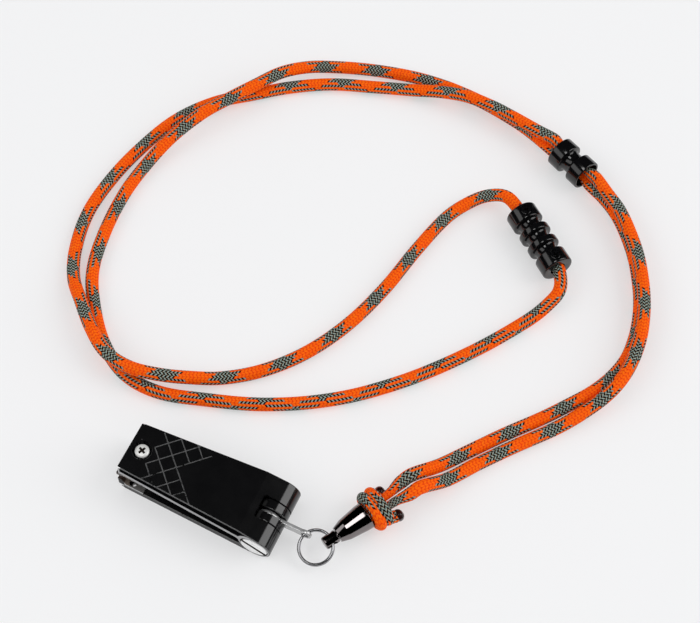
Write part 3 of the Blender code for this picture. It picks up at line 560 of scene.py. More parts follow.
def turned(name, profile, placed, steps=96, closed=True, flatten=1.0):
    """Turns a profile of (radius, height) about local Z."""
    verts, faces, rings = [], [], []
    for radius, height in profile:
        if radius < 1e-6:
            rings.append([len(verts)] * steps)
            verts.append((0.0, 0.0, height))
        else:
            rings.append(list(range(len(verts), len(verts) + steps)))
            for k in range(steps):
                angle = 2 * math.pi * k / steps
                verts.append((radius * math.cos(angle) * flatten, radius * math.sin(angle), height))
    pairs = zip(rings, rings[1:] + rings[:1]) if closed else zip(rings, rings[1:])
    for low, high in pairs:
        for k in range(steps):
            corners = [low[k], low[(k + 1) % steps], high[(k + 1) % steps], high[k]]
            unique = list(dict.fromkeys(corners))
            if len(unique) > 2:
                faces.append(unique)
    return new_object(name, verts, faces, placed)


def spindle(name, profile, placed, steps, cuts=4):
    """A turned solid whose profile starts and ends on the axis."""
    return turned(name, rounded(profile, closed=False, cuts=cuts), placed, steps, closed=False)


def skin(rings):
    """The faces of a solid through rings of vertex numbers, with its two ends first."""
    count = len(rings[0])
    faces = [tuple(rings[0]), tuple(rings[-1])]
    for low, high in zip(rings, rings[1:]):
        faces += [(low[i], low[(i + 1) % count], high[(i + 1) % count], high[i]) for i in range(count)]
    return faces


def prism(name, low, high, placed, material=None):
    """A solid between two outlines with as many corners."""
    count = len(low)
    obj = new_object(name, low + high, skin([range(count), range(count, 2 * count)]), placed)
    if material:
        obj.data.materials.append(material)
    return obj


def moved(obj, place=(0.0, 0.0, 0.0), degrees=0.0, axis="X"):
    """Turns a mesh about its own origin, and then shifts it."""
    turn = Matrix.Rotation(math.radians(degrees), 4, axis)
    obj.data.transform(Matrix.Translation([c * MM for c in place]) @ turn)
    return obj


def box(low, high, placed):
    (x, y, z), (far_x, far_y, far_z) = low, high
    sides = [(y, z), (y, far_z), (far_y, far_z), (far_y, z)]
    return prism("box", [(x, *side) for side in sides], [(far_x, *side) for side in sides], placed)


def cylinder(radius, start, end, axis, centre, placed, steps=64, far_radius=None):
    """A cylinder or cone about a local axis through centre."""
    far = radius if far_radius is None else far_radius
    obj = turned("cylinder", [(0, start), (radius, start), (far, end), (0, end)], placed, steps, closed=False)
    turn = {"X": Matrix.Rotation(math.pi / 2, 4, "Y"), "Y": Matrix.Rotation(-math.pi / 2, 4, "X"), "Z": WORLD}
    obj.data.transform(Matrix.Translation(Vector(centre) * MM) @ turn[axis])
    return obj


def combine(obj, cutters, operation="DIFFERENCE"):
    """Cuts or joins the other objects, and then removes them. New faces keep the cutter's material."""
    for cutter in cutters:
        modifier = obj.modifiers.new("combine", "BOOLEAN")
        modifier.operation = operation
        modifier.object = cutter
        modifier.solver = "MANIFOLD"
        modifier.material_mode = "TRANSFER"
    bpy.context.view_layer.update()
    mesh = bpy.data.meshes.new_from_object(obj.evaluated_get(bpy.context.evaluated_depsgraph_get()))
    obj.modifiers.clear()
    obj.data = mesh
    for cutter in cutters:
        bpy.data.objects.remove(cutter, do_unlink=True)


def half_width(x):
    return HALF_AT_AXLE + (HALF_AT_JAWS - HALF_AT_AXLE) * min(1.0, max(0.0, x / JAW_END))


def plate(name, outline, edge_at, placed, cuts, materials, inset=0.0):
    """A side outline of (x, z) over the levers' tapered width. Its long edges are rounded off by edge_at.
    Those faces have the second material, and the two sides have the third."""
    count = len(outline)
    edges = [edge_at(x, z) for x, z in outline]
    verts = [(x, side * (half_width(x) - inset), z) for side in (-1, 1) for x, z in outline]
    mesh = new_mesh(name, verts, skin([range(count), range(count, 2 * count)]))
    bm = bmesh.new()
    bm.from_mesh(mesh)
    bmesh.ops.recalc_face_normals(bm, faces=bm.faces)
    bm.faces.ensure_lookup_table()
    bm.faces[0].material_index = bm.faces[1].material_index = 2
    weights = bm.edges.layers.float.new("bevel_weight_edge")
    bm.verts.ensure_lookup_table()
    for side in (0, count):
        for i in range(count):
            after = (i + 1) % count
            long_edge = bm.edges.get((bm.verts[side + i], bm.verts[side + after]))
            long_edge[weights] = (edges[i] + edges[after]) / 2
    bm.to_mesh(mesh)
    bm.free()
    obj = added(name, mesh, placed)
    bevel = obj.modifiers.new("edges", "BEVEL")
    bevel.width = MM
    bevel.limit_method = "WEIGHT"
    bevel.segments = cuts
    bevel.material = 1
    bevel.use_clamp_overlap = False
    bevel.miter_inner = "MITER_SHARP"
    for material in materials:
        mesh.materials.append(material)
    return obj


def finish(obj, materials, body, replaces=(), sharp=FLAT_SHARP):
    """Gives the piece its materials, smooths it up to sharp corners, and hangs it on its body."""
    mesh = obj.data
    indices = [p.material_index for p in mesh.polygons]
    mesh.materials.clear()
    for material in materials:
        mesh.materials.append(material)
    mesh.polygons.foreach_set("material_index", indices)
    mesh.shade_smooth()
    mesh.set_sharp_from_angle(angle=math.radians(sharp))
    if sharp == FLAT_SHARP:
        # Large flat faces stay flat up to their rounded edges.
        weighted = obj.modifiers.new("weighted", "WEIGHTED_NORMAL")
        weighted.weight = 80
        weighted.keep_sharp = True
    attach(obj, body)
    if replaces:
        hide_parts(*replaces)
    return obj


def unit(heading, pitch=0.0):
    flat = math.cos(math.radians(pitch))
    x, y = math.cos(math.radians(heading)) * flat, math.sin(math.radians(heading)) * flat
    return Vector((x, y, math.sin(math.radians(pitch))))


def sweep(name, path, placed=WORLD, sides=28, first_normal=(0.0, 0.0, 1.0), flat=None, weave=(0.0, 0.0, 0.0)):
    """A tube through (point, radius), with millimetres along it and turns round it as its UV map.

    flat is an axis: the tube is narrowed along it to that vector's length. weave is where the map starts, in
    turns and in millimetres, and a further turn at the start that fades out over TWIST_MM.
    """
    v_start, u_start, twist = weave
    points = np.array([p for p, _ in path], float)
    radii = np.array([r for _, r in path], float)
    ahead = np.gradient(points, axis=0)
    ahead /= np.linalg.norm(ahead, axis=1)[:, None]
    normal = np.array(first_normal, float)
    verts, lengths = [], np.concatenate([[0], np.cumsum(np.linalg.norm(np.diff(points, axis=0), axis=1))])
    for i in range(len(points)):
        normal = normal - ahead[i] * (normal @ ahead[i])
        normal /= np.linalg.norm(normal)
        side = np.cross(ahead[i], normal)
        for k in range(sides):
            angle = 2 * math.pi * k / sides
            off = (normal * math.cos(angle) + side * math.sin(angle)) * radii[i]
            if flat is not None:
                share = np.linalg.norm(flat)
                n = np.array(flat) / share
                off = off - n * (off @ n) * (1 - share)
            verts.append(tuple(points[i] + off))
    faces, uvs = [], []
    for i in range(len(points) - 1):
        for k in range(sides):
            j = (k + 1) % sides
            faces.append((i * sides + k, i * sides + j, (i + 1) * sides + j, (i + 1) * sides + k))
            for row, turn in ((i, k), (i, k + 1), (i + 1, k + 1), (i + 1, k)):
                twisted = twist * max(0.0, 1.0 - lengths[row] / TWIST_MM)
                uvs.append((lengths[row] + u_start, turn / sides + v_start + twisted))
    last = len(points) - 1
    faces.append(tuple(range(sides))[::-1])
    faces.append(tuple(range(last * sides, (last + 1) * sides)))
    uvs += [(u_start, v_start)] * sides + [(lengths[-1] + u_start, v_start)] * sides
    mesh = new_mesh(name, verts, faces)
    layer = mesh.uv_layers.new(name="UVMap")
    layer.data.foreach_set("uv", np.array(uvs, np.float32).ravel())
    return added(name, mesh, placed)


# ---- the cords
def guided(at, heading, pitch, stops, side, lean=0.0):
    ahead, aside = unit(heading, pitch), unit(heading + 90.0, lean)
    return [(at + ahead * s + aside * side * off, radius) for s, off, radius in stops]


def smooth(points, step):
    """A Catmull-Rom curve through (place, radius) points, read about every step."""
    read, last = [], len(points) - 1
    for i in range(last):
        before, start = points[max(i - 1, 0)][0], points[i][0]
        end, after = points[i + 1][0], points[min(i + 2, last)][0]
        length = (end - start).length
        lead = (end - before) * (length / max((end - before).length, length))
        trail = (after - start) * (length / max((after - start).length, length))
        count = max(2, round(length / step))
        for k in range(count):
            t = k / count
            place = (
                start * (2 * t**3 - 3 * t**2 + 1)
                + lead * (t**3 - 2 * t**2 + t)
                + end * (-2 * t**3 + 3 * t**2)
                + trail * (t**3 - t**2)
            )
            radius = points[i][1] + (points[i + 1][1] - points[i][1]) * t
            place.z = max(place.z, radius + 0.02)
            read.append((place, radius))
    read.append(points[last])
    return read


def strand_path(end_side, first, second, side):
    """A strand's route from the ferrule, through the knot, the bead and the neck loop, to the connector."""
    heading = CONNECTOR_HEADING if end_side > 0 else CONNECTOR_HEADING + 180.0
    route = guided(CONNECTOR_AT, heading, 0.0, IN_CONNECTOR, 0.0)
    route += [(Vector((*place, CORD_Z)[:3]), CORD_R) for place in first]
    route += guided(BEAD_AT, BEAD_HEADING, 0.0, IN_BEAD, side, BEAD_LEAN)
    route += [(Vector((*place, CORD_Z)[:3]), CORD_R) for place in second]
    route += guided(STEM_EYE, FERRULE_HEADING, FERRULE_PITCH, IN_KNOT, -side)
    return smooth(route, 0.5)[::-1]


def make_strands(cord_material):
    """Sweeps the two strands along their routes and hangs them on the cord end."""
    for name, end_side, first, second, side, weave in (
        ("strand_a", 1, ROUTE_A, ROUTE_A_TO_KNOT, -1, (0.35, 0.0, -0.25)),
        ("strand_b", -1, ROUTE_B, ROUTE_B_TO_KNOT, 1, (0.67, -1.7, 0.0)),
    ):
        path = strand_path(end_side, first, second, side)
        strand = sweep("braided_" + name, path, weave=weave)
        finish(strand, [cord_material], "cord_end", (name,), sharp=CORD_SHARP)
        line = [tuple(p * MM) for p, _ in path]
        length = sum((Vector(b) - Vector(a)).length for a, b in zip(line, line[1:]))
        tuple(line[0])


def make_knot(cord_material, melted_material):
    """Two tight turns of cord round both strands, and the wrap's two melted ends behind them."""
    wide, high = KNOT_R - WRAP_INSET, KNOT_R * KNOT_FLATTEN - WRAP_INSET
    front, rear = KNOT_START + 1.55, KNOT_END - 1.5
    path = []
    for i in range(221):
        degrees = -70.0 + 680.0 * i / 220
        angle = math.radians(degrees)
        share = min(1.0, max(0.0, (degrees - 190.0) / 150.0))
        share = share * share * (3 - 2 * share)
        z = rear + (front - rear) * share + 0.25 * math.sin(angle)
        path.append(((-high * math.sin(angle), wide * math.cos(angle), z), WRAP_R))
    sideways = (1.0, 0.0, 0.0)
    wrap = sweep("knot_wraps", path, FERRULE, 32, sideways, (0, 0, 0.84), (0.2, 5.0, 0.0))
    finish(wrap, [cord_material], "cord_end", ("wrap_knot",), sharp=CORD_SHARP)
    pieces = [wrap]
    end = KNOT_END + GAP_END
    tip = [(0.0, 1.3), (0.75, 1.17), (1.3, 0.87), (1.63, 0.35), (1.7, -0.25)]
    tip += [(1.58, -0.75), (1.3, -1.0), (0.0, -1.05)]
    tip = rounded([(r, z + end + 1.3, 0.3) for r, z in tip], closed=False)
    for name, low, side in (("left", 2.0, 3.8), ("right", 1.2, -4.7)):
        tail = [
            ((low * 0.9, side * 0.72, end - 2.2), 1.7),
            ((low * 0.95, side * 0.85, end - 0.9), 1.75),
            ((low, side * 0.95, end + 0.3), 1.72),
            ((low, side, end + 1.0), 1.5),
        ]
        tail = smooth([(Vector(p), r) for p, r in tail], 0.2)
        stub = sweep(f"knot_tail_{name}", tail, FERRULE, first_normal=sideways, weave=(0.7, 0.0, 0.0))
        finish(stub, [cord_material], "cord_end", sharp=CORD_SHARP)
        blob = turned(f"melted_tip_{name}", tip, FERRULE, 48, closed=False)
        for vert in blob.data.vertices:
            lump = math.sin(vert.co.x * 4100 + side) * math.sin(vert.co.y * 3300) * 0.00007
            vert.co.x += low * MM + lump
            vert.co.y += side * MM + lump
        finish(blob, [melted_material], "cord_end", ("melted_end_" + name,), sharp=CORD_SHARP)
        pieces += [stub, blob]
    return pieces


# ---- the levers
def arc(centre, radius, first, last, count):
    angles = [math.radians(first + (last - first) * k / count) for k in range(count + 1)]
    return [(centre[0] + radius * math.cos(angle), centre[1] + radius * math.sin(angle)) for angle in angles]


# The grip pattern: lines at 45 degrees either way. Each is (where it would cross the middle line, where it
# starts, and how far it runs on the near side and on the far side), in the frame of the object.
GRIP = [
    (-17.75, 2.6, 11.0, 11.0),
    (-12.55, -2.6, 11.0, 11.0),
    (-7.35, -7.4, 11.0, 6.9),
    (-2.15, -11.0, -2.6, -2.6),
    (3.05, -11.0, -5.2, -5.2),
]
GRIP_MIDDLE_Y = -0.35


def make_upper_lever(black, edge_worn, side_face, groove):
    top = rounded([(-9.0, UPPER_TOP), (-5.0, UPPER_TOP, 1.5), (0.9, 4.66)], closed=False, cuts=6)
    barrel = arc((0, 0), BARREL_R, 77.0, -168.0, 56)
    under = [(-4.72, -1.0), (-4.9, 0.35, 0.8), (-6.4, UPPER_UNDER_AXLE), (JAW_REAR, UPPER_UNDER_JAW - 0.24)]
    end = [(JAW_REAR, UPPER_UNDER_JAW), (JAW_END, UPPER_UNDER_JAW), (JAW_END, UPPER_TOP), (-38.0, UPPER_TOP)]
    outline = top + barrel + rounded(under, closed=False, cuts=8) + end
    materials = [black, edge_worn, side_face]
    lever = plate("upper_lever_body", outline, lambda x, z: 0.22 if z > 4.6 else 0.3, UPPER, 4, materials)
    wide = HALF_AT_AXLE + 1.0
    pocket = [(POCKET_REAR, -OUTER_KNUCKLE, 0.6), (9, -OUTER_KNUCKLE), (9, OUTER_KNUCKLE)]
    pocket = rounded(pocket + [(POCKET_REAR, OUTER_KNUCKLE, 0.6)], cuts=6)
    screw = (JAW_SCREW_X, 0, 0)
    cuts = [
        prism("pocket", [(x, y, -8) for x, y in pocket], [(x, y, 9) for x, y in pocket], UPPER),
        cylinder(KNUCKLE_ROOM_R, -OUTER_KNUCKLE, OUTER_KNUCKLE, "Y", (0, 0, 0), UPPER, 96),
        cylinder(HINGE_BORE_R, -wide, wide, "Y", (0, 0, 0), UPPER),
    ]
    for side in (-1, 1):
        low, high = sorted((side * (HALF_AT_AXLE - HEAD_DEEP), side * wide))
        cuts.append(cylinder(HEAD_R + 0.12, low, high, "Y", (0, 0, 0), UPPER, 96))
    rim = (COUNTERBORE_R - 0.05, UPPER_TOP - 0.12, UPPER_TOP + 0.2)
    cuts += [
        cylinder(JAW_SCREW_HOLE_R, 0, 9, "Z", screw, UPPER),
        cylinder(COUNTERBORE_R, UPPER_TOP - 1.4, 9, "Z", screw, UPPER, 96),
        cylinder(*rim, "Z", screw, UPPER, 96, COUNTERBORE_R + 0.25),
        cylinder(NEEDLE_ROOM_R, 0, 4.4, "Z", (*NEEDLE, 0), UPPER, 32),
        cylinder(SPRING_SEAT_R, 0, 3.1, "Z", (SPRING_X, 0, 0), UPPER),
    ]
    combine(lever, cuts)
    lines = []
    for crossing, start, near, far in GRIP:
        for way, end in ((1, far), (-1, near)):
            low = Vector((crossing - AXLE.x + start, GRIP_MIDDLE_Y + way * start, 0))
            high = Vector((crossing - AXLE.x + end, GRIP_MIDDLE_Y + way * end, 0))
            run = (high - low).normalized()
            across = Vector((-run.y, run.x, 0))
            section = ((-GROOVE_HALF, 0.2), (0.0, -GROOVE_DEEP), (GROOVE_HALF, 0.2))
            rings = []
            for place in (low - run * 0.15, high + run * 0.15):
                points = [(place + across * off, up) for off, up in section]
                rings.append([(point.x, point.y, UPPER_TOP + up) for point, up in points])
            lines.append(prism("line", *rings, UPPER, groove))
    combine(lever, lines)
    finish(lever, materials + [groove], "upper_arm", ("upper_lever",))


def make_lower_lever(black, edge_worn, side_face):
    outline = [
        (-9.0, LOWER_UNDER), (JAW_END + 1.2, LOWER_UNDER), (JAW_END + 0.4, LOWER_UNDER + 0.35),
        (JAW_END, LOWER_UNDER + 1.0), (JAW_END, JAW_SEAT), (JAW_REAR, JAW_SEAT), (JAW_REAR, LOWER_TOP),
        (-6.0, LOWER_TOP), (-5.0, LOWER_TOP + 0.15), (-4.2, -1.6), (0.0, 0.0), (1.5, -4.2),
        (0.0, LOWER_UNDER),
    ]

    def edge_at(x, z):
        if x > -4.5:
            return 0.0
        return 0.35 if z < -4.4 else 0.2

    materials = [black, edge_worn, side_face]
    lever = plate("lower_lever_body", outline, edge_at, LOWER, 4, materials)
    inner, outer = INNER_KNUCKLE
    rim = 0.25
    profile = [(0, 0.2), (BARREL_R, 0.2), (BARREL_R, outer - rim), (BARREL_R - 0.1, outer - 0.07)]
    profile += [(BARREL_R - rim, outer), (0, outer)]
    knuckles = []
    for side in (-1, 1):
        knuckle = turned("knuckle", profile, LOWER, 112, closed=False)
        knuckles.append(moved(knuckle, degrees=-90.0 * side))
    combine(lever, knuckles, "UNION")
    wide = HALF_AT_AXLE + 1.0
    screw, needle = (JAW_SCREW_X, 0, 0), (*NEEDLE_HOLE[:2], 0)
    cuts = [
        cylinder(HINGE_BORE_R, -wide, wide, "Y", (0, 0, 0), LOWER),
        cylinder(3.6, -inner, inner, "Y", (0, 0, 0), LOWER, 80),
        box((0, -inner, -7), (7, inner, 7), LOWER),
        box((-5, -inner, 0), (1, inner, 7), LOWER),
        cylinder(JAW_SCREW_HOLE_R, -7, 0, "Z", screw, LOWER),
        cylinder(2.45, -7, -4.0, "Z", screw, LOWER, 80),
        cylinder(NEEDLE_HOLE[2], -3.9, 0, "Z", needle, LOWER, 48),
        cylinder(0.5, -7, 0, "Z", needle, LOWER, 32),
        cylinder(SPRING_SEAT_R, -2.9, 0, "Z", (SPRING_X, 0, 0), LOWER),
    ]
    for side in (-1, 1):
        low, high = sorted((side * outer, side * wide))
        cuts.append(cylinder(KNUCKLE_ROOM_R, low, high, "Y", (0, 0, 0), LOWER, 96))
    combine(lever, cuts)
    finish(lever, materials, "lower_arm", ("lower_lever",))


def make_jaws(steel, ground):
    tip, rear = JAW_END - 0.6, JAW_REAR - 0.25
    low, high = JAW_SEAT + 0.2, JAW_SEAT + 1.2
    lower = [(tip, low, 0.08), (rear, low, 0.08), (rear, high, 0.12)]
    lower += [(tip + 2.3, high, 0.5), (tip + 1.0, 0.15, 0.15), (tip, 0.15, 0.12)]
    top = UPPER_UNDER_JAW - 0.2
    upper = [(tip - 0.1, top, 0.08), (tip - 0.1, 0.3, 0.12), (tip + 0.9, 0.3, 0.15)]
    upper += [(tip + 2.2, top - 0.45, 0.5), (rear, top - 0.45, 0.12), (rear, top, 0.08)]
    for name, outline, placed, hole, body, side in (
        ("lower_jaw", lower, LOWER, NEEDLE_HOLE, "lower_arm", ground),
        ("upper_jaw", upper, UPPER, (*NEEDLE, NEEDLE_ROOM_R), "upper_arm", steel),
    ):
        outline = rounded(outline, cuts=3)
        jaw = plate(name + "_plate", outline, lambda x, z: 0.05, placed, 2, (None, None, side), 0.12)
        jaw.modifiers[0].material = 0
        x, y, radius = hole
        screw_hole = cylinder(JAW_SCREW_HOLE_R, -5, 5, "Z", (JAW_SCREW_X, 0, 0), placed, 48)
        combine(jaw, [screw_hole, cylinder(radius, -5, 5, "Z", (x, y, 0), placed, 48)])
        finish(jaw, [steel, steel, side], body, (name,))


def cross_recess(centre, top, size, deep, placed, dark, turn=45.0):
    """A tapered Phillips recess: four wings and a deeper middle."""
    ends = ((size / 2, size * 0.14, top + 0.12), (size / 2 * 0.42, size * 0.09, top - deep))
    wings = []
    for angle in (turn, turn + 90.0):
        rings = []
        for reach, width, height in ends:
            ring = []
            for x, y in ((1, 1), (1, -1), (-1, -1), (-1, 1)):
                place = Matrix.Rotation(math.radians(angle), 3, "Z") @ Vector((x * reach, y * width, 0))
                ring.append((centre[0] + place.x, centre[1] + place.y, height))
            rings.append(ring)
        wings.append(prism("wing", *rings, placed, dark))
    middle = cylinder(size * 0.12, -deep * 1.25, 0.12, "Z", (*centre, top), placed, 24, size * 0.24)
    middle.data.materials.append(dark)
    return wings + [middle]


def make_screws(zinc, dark, bright):
    top = UPPER_TOP - 0.1
    profile = [(0, top + 0.06), (0.9, top + 0.04), (1.5, top - 0.03, 0.5), (1.97, top - 0.3, 0.25)]
    profile += [(1.97, top - 1.0, 0.1), (1.0, top - 1.0), (1.0, 1.8), (0, 1.8)]
    screw = spindle("upper_screw_head", profile, UPPER, 80)
    moved(screw, (JAW_SCREW_X, 0, 0)).data.materials.append(zinc)
    combine(screw, cross_recess((JAW_SCREW_X, 0.0), top, 2.3, 0.75, UPPER, dark, 65.0))
    finish(screw, [zinc, dark], "upper_arm", ("upper_jaw_screw",))
    under = LOWER_UNDER + 0.1
    profile = [(0, -2.4), (1.0, -2.4), (1.0, under + 0.55), (2.12, under + 0.55, 0.08)]
    profile += [(2.12, under + 0.1, 0.2), (1.5, under, 0.3), (0, under)]
    screw = spindle("lower_screw_head", profile, LOWER, 80)
    moved(screw, (JAW_SCREW_X, 0, 0)).data.materials.append(zinc)
    wings = cross_recess((0.0, 0.0), 0.0, 2.5, 0.4, LOWER, dark)
    combine(screw, [moved(wing, (JAW_SCREW_X, 0, under), 180.0) for wing in wings])
    finish(screw, [zinc, dark], "lower_arm", ("lower_jaw_screw",))

    profile = [(0, 4.1), (NEEDLE_R, 4.1), (NEEDLE_R, -1.2, 0.6), (0.12, -2.45, 0.1), (0, -2.6)]
    needle = spindle("needle_pin", profile, UPPER, 32)
    # The pale zinc on the needle is partly a painted highlight: its near-white diffuse base keeps the pin
    # bright white in shade.
    finish(moved(needle, (*NEEDLE, 0)), [zinc], "upper_arm", ("eye_needle",))

    face = HALF_AT_AXLE + 0.05
    seat = HALF_AT_AXLE - HEAD_DEEP + 0.12
    head = [(0, face), (HEAD_R - 0.14, face, 0.25), (HEAD_R - 0.14, seat)]
    screw = head + [(SCREW_SHANK_R, seat), (SCREW_SHANK_R, -6.5, 0.3), (0, -6.5)]
    nut = head + [(SLEEVE_R, seat), (SLEEVE_R, -seat + 0.25), (1.75, -seat + 0.25), (1.75, 7.4), (0, 7.4)]
    for node, profile, way in (("hinge_screw", screw, 1), ("hinge_nut", nut, -1)):
        piece = spindle(node + "_head", profile, LOWER, 96)
        # The slot takes the dark recess material: painted shade.
        slot = box((-5.0, -0.62, face - 0.65), (5.0, 0.62, face + 1.0), LOWER)
        moved(slot, degrees=-SLOT_TURN * way, axis="Z").data.materials.append(dark)
        # bright: near-white nickel, half diffuse, a painted reflection of the floor.
        piece.data.materials.append(bright)
        combine(piece, [slot])
        finish(moved(piece, degrees=90.0 * way), [bright, dark], "lower_arm", (node,))


def make_spring(wire):
    low, high = SPRING_ENDS
    steps = SPRING_TURNS * 40
    path = []
    for i in range(steps + 1):
        t = i / steps
        angle = 2 * math.pi * SPRING_TURNS * t
        rise = t - 0.03 * math.sin(4 * math.pi * t)
        z = low + SPRING_WIRE_R + (high - low - 2 * SPRING_WIRE_R) * rise
        path.append(((SPRING_X + SPRING_R * math.cos(angle), SPRING_R * math.sin(angle), z), SPRING_WIRE_R))
    spring = sweep("spring_coil", path, LOWER, sides=14)
    finish(spring, [wire], "lower_arm", ("lever_spring",), sharp=CORD_SHARP)


# ---- link, ring, swivel
def ring_frame():
    chord = STEM_EYE - LINK_EYE
    across = chord.normalized()
    level = Vector((across.y, -across.x, 0.0)).normalized()
    tilt = math.radians(RING_TILT)
    aside = level * math.cos(tilt) + across.cross(level) * math.sin(tilt)
    offset = math.sqrt(RING_R**2 - (chord.length / 2) ** 2)
    return (STEM_EYE + LINK_EYE) / 2 + aside * offset, across, aside


def make_link(plated):
    reach = LINK_EYE - AXLE
    length = math.hypot(reach.x, reach.z)
    placed = LOWER @ Matrix.Rotation(math.atan2(-reach.z, reach.x), 4, "Y")
    hub = arc((0, 0), 3.3, 25.0, 335.0, 60)
    eye = arc((length, 0), 1.7, -128.0, 128.0, 36)
    neck = [(length - 1.05, 1.34), (length - 2.3, 1.3, 1.2), (3.6, 1.45, 1.2), (2.99, 1.4)]
    neck = rounded(neck, closed=False)[1:-1]
    outline = [Vector(point) for point in eye + neck + hub + [(x, -z) for x, z in reversed(neck)]]
    count = len(outline)
    chamfer = [(-LINK_HALF, 0.14), (-LINK_HALF + 0.05, 0.05), (-LINK_HALF + 0.14, 0.0)]
    verts, rings = [], []
    for y, shrink in chamfer + [(-y, shrink) for y, shrink in reversed(chamfer)]:
        rings.append(range(len(verts), len(verts) + count))
        for i in range(count):
            edge = (outline[(i + 1) % count] - outline[i - 1]).normalized()
            place = outline[i] + Vector((-edge.y, edge.x)) * shrink
            verts.append((place.x, y, place.y))
    link = new_object("nickel_link", verts, skin(rings), placed)
    eye_at = (length, 0, 0)
    cuts = [
        cylinder(HINGE_BORE_R, -3, 3, "Y", (0, 0, 0), placed),
        cylinder(LINK_EYE_R, -3, 3, "Y", eye_at, placed, 48),
        cylinder(LINK_EYE_R, -LINK_HALF - 0.05, -LINK_HALF + 0.15, "Y", eye_at, placed, 48, 1.0),
    ]
    combine(link, cuts)
    finish(link, [plated], "link", ("lanyard_link",))


def make_ring(steel):
    middle, across, aside = ring_frame()
    normal = across.cross(aside)
    path = []
    steps = 260
    for i in range(steps + 1):
        turn = 2 * RING_HALF_TURNS * i / steps
        angle = 2 * math.pi * turn + math.radians(205.0)
        lift = RING_PITCH * (turn - RING_HALF_TURNS)
        lift = math.copysign(min(abs(lift), RING_PITCH / 2), lift)
        place = middle + (across * math.cos(angle) + aside * math.sin(angle)) * RING_R + normal * lift
        path.append((tuple(place), (RING_WIRE_R + 0.04) * (0.8 if i in (0, steps) else 1.0)))
    ring = sweep("split_ring_wire", path, WORLD, 20, tuple(normal))
    finish(ring, [steel], "ring", ("split_ring",), sharp=50)


def make_swivel(dark_plate):
    profile = [(0, 7.6), (2.2, 7.6, 0.2), (2.2, 6.4, 0.2), (NECK_R, 6.4), (NECK_R, FERRULE_START - 0.35)]
    profile += [(STEM_R, FERRULE_START - 0.35, 0.1), (STEM_R, STEM_TIP, 0.45), (0, STEM_TIP)]
    stem = spindle("swivel_pin", profile, FERRULE, 72, 6)
    middle, across, aside = ring_frame()
    tangent = across.cross(aside).cross((STEM_EYE - middle).normalized())
    hole = cylinder(STEM_HOLE_R, -3, 3, "Z", (0, 0, 0), WORLD, 48)
    hole.matrix_world = frame_at(STEM_EYE, tangent.to_track_quat("Z", "Y").to_matrix().to_4x4())
    combine(stem, [hole])
    finish(stem, [dark_plate], "stem", ("swivel_stem",))
    profile = [
        (FERRULE_R, FERRULE_END, 0.16), (FERRULE_R - 0.1, FERRULE_END - 1.6, 1.0),
        (3.0, FERRULE_START + 2.5, 0.3), (STEM_R + 0.35, FERRULE_START, 0.12),
        (NECK_R + 0.2, FERRULE_START), (NECK_R + 0.2, 6.1), (CAVITY_R - 0.2, 6.1), (CAVITY_R, 6.6),
        (CAVITY_R, FERRULE_END, 0.12),
    ]
    bell = turned("ferrule_bell", rounded(profile, cuts=8), FERRULE, 112)
    finish(bell, [dark_plate], "cord_end", ("ferrule_body",))


# ---- bead and connector
def ribbed(widths, gap, half):
    """The outer side of a row of flanges, from the upper end down, with round-bottomed grooves between."""
    profile, high = [], half
    for number, width in enumerate(widths):
        low = high - width
        edge = 0.42 if width > 3 else 0.5
        top_edge = 0.55 if number == 0 else edge
        low_edge = 0.55 if number == len(widths) - 1 else edge
        profile += [(BEAD_R, high, top_edge), (BEAD_R, low, low_edge)]
        if number < len(widths) - 1:
            floor_top, floor_low = low - 0.12, low - gap + 0.12
            shoulder = BEAD_R - 0.75
            profile += [(shoulder, floor_top, 0.25)]
            middle, reach = (floor_top + floor_low) / 2, (floor_top - floor_low) / 2
            for k in range(1, 10):
                angle = math.pi * k / 10
                radius = shoulder - (shoulder - WAIST_R) * math.sin(angle) ** 0.55
                profile.append((radius, middle + reach * math.cos(angle)))
            profile += [(shoulder, floor_low, 0.25)]
            high = floor_low - 0.12
    return profile


def make_bead(plastic):
    bore = [(MOUTH_R, BEAD_HALF, 0.25), (MOUTH_R - 0.05, 3.0, 0.8), (2.85, 1.5, 0.8)]
    profile = ribbed((4.3, 4.3), 3.4, BEAD_HALF) + [(r, -z, edge) for r, z, edge in bore] + bore[::-1]
    bead = turned("ribbed_bead", rounded(profile, cuts=5), BEAD, 112)
    return finish(bead, [plastic], "slider", ("slider_bead",), sharp=RIB_SHARP)


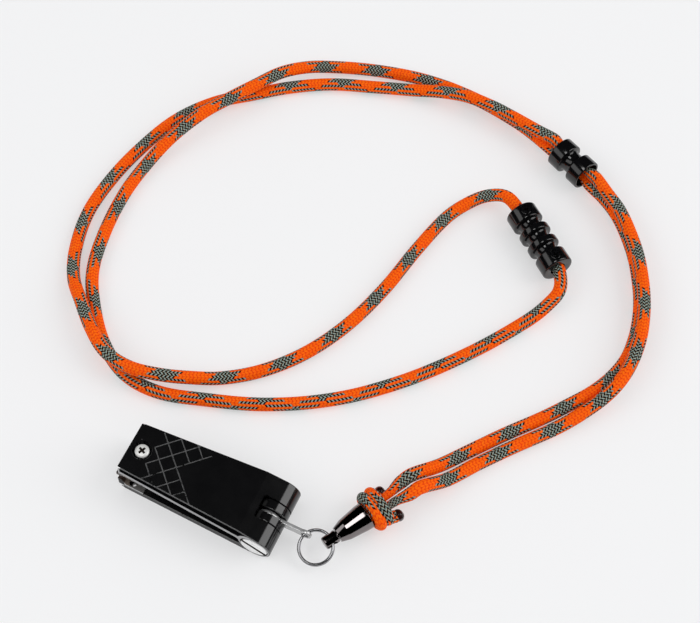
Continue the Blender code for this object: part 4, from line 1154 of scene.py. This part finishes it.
def make_connector(plastic, screw_plastic):
    profile = ribbed((4.9, 2.1, 2.1, 4.9), 2.7, CONNECTOR_HALF)
    profile += [(CONNECTOR_BORE_R, -CONNECTOR_HALF, 0.35), (CONNECTOR_BORE_R, CONNECTOR_HALF, 0.35)]
    body = turned("ribbed_connector", rounded(profile, cuts=5), CONNECTOR, 112)
    body.data.materials.append(plastic)
    pieces, holes = [], []
    face = SET_SCREW_FACE
    for end, place in (("upper", -SET_SCREW_FROM_MIDDLE), ("lower", SET_SCREW_FROM_MIDDLE)):
        name, at = "set_screw_" + end, (0, 0, place)
        holes.append(cylinder(SET_SCREW_R + 0.12, -7, -0.5, "X", at, CONNECTOR, 64))
        holes.append(cylinder(2.1, -5.2, -4.3, "X", at, CONNECTOR, 64, 1.5))
        profile = [(0, -2.3), (SET_SCREW_R, -2.3), (SET_SCREW_R, -face, 0.22), (0, -face)]
        screw = spindle(name + "_plug", profile, CONNECTOR, 64)
        screw.data.materials.append(screw_plastic)
        wings = cross_recess((0.0, 0.0), 0.0, 2.2, 0.8, CONNECTOR, screw_plastic, 12.0)
        combine(screw, [moved(wing, (0, 0, -face), 180.0) for wing in wings])
        moved(screw, at, 90.0, "Y")
        pieces.append(finish(screw, [screw_plastic], "cord_end", (name,)))
    combine(body, holes)
    finish(body, [plastic], "cord_end", ("connector_tube",), sharp=RIB_SHARP)
    return [body] + pieces


def main():
    make_camera()
    make_stage()
    cord_material, melted_material = paracord(), melted()
    plastic = gloss_black("gloss_black")
    bead = make_bead(plastic)
    connector = make_connector(plastic, gloss_black("gloss_black_screw"))
    knot = make_knot(cord_material, melted_material)
    make_strands(cord_material)
    black = anodised()
    side_face = lever_side("anodised_upper_side", 0.0, UPPER_UNDER_AXLE - 0.25, 1.75, -0.0413)
    # The grip grooves are bare machined metal, and brighter on their far half: a painted highlight.
    edge, groove = wear_and_painted_highlights("anodised_edge", 0.12, 0.85, (78, 128)), wear_and_painted_highlights("anodised_groove_painted_highlight", 0.8, 0.72, (90, 158))
    make_upper_lever(black, edge, side_face, groove)
    lower_side = lever_side("anodised_lower_side", 0.6)
    make_lower_lever(black, wear_and_painted_highlights("anodised_lower_edge", 0.5, 0.9, (90, 130)), lower_side)
    make_jaws(jaw_steel(), lever_side("jaw_ground_side", 0.3, -20.0, 40.0, start=-40.3))
    # The hinge heads' near-white, half-diffuse base is a painted reflection of the white floor.
    make_screws(screw_steel(), recess_painted_shade(), nickel("hinge_nickel_painted_reflection", (246, 246, 245), (0.2, 0.32), 0.45))
    make_spring(spring_steel())
    make_link(nickel("link_nickel", (196, 196, 196), (0.16, 0.3), 0.6))
    make_ring(nickel("ring_steel", (150, 150, 152), (0.12, 0.22)))
    make_swivel(gunmetal())
    bpy.context.view_layer.update()


main()
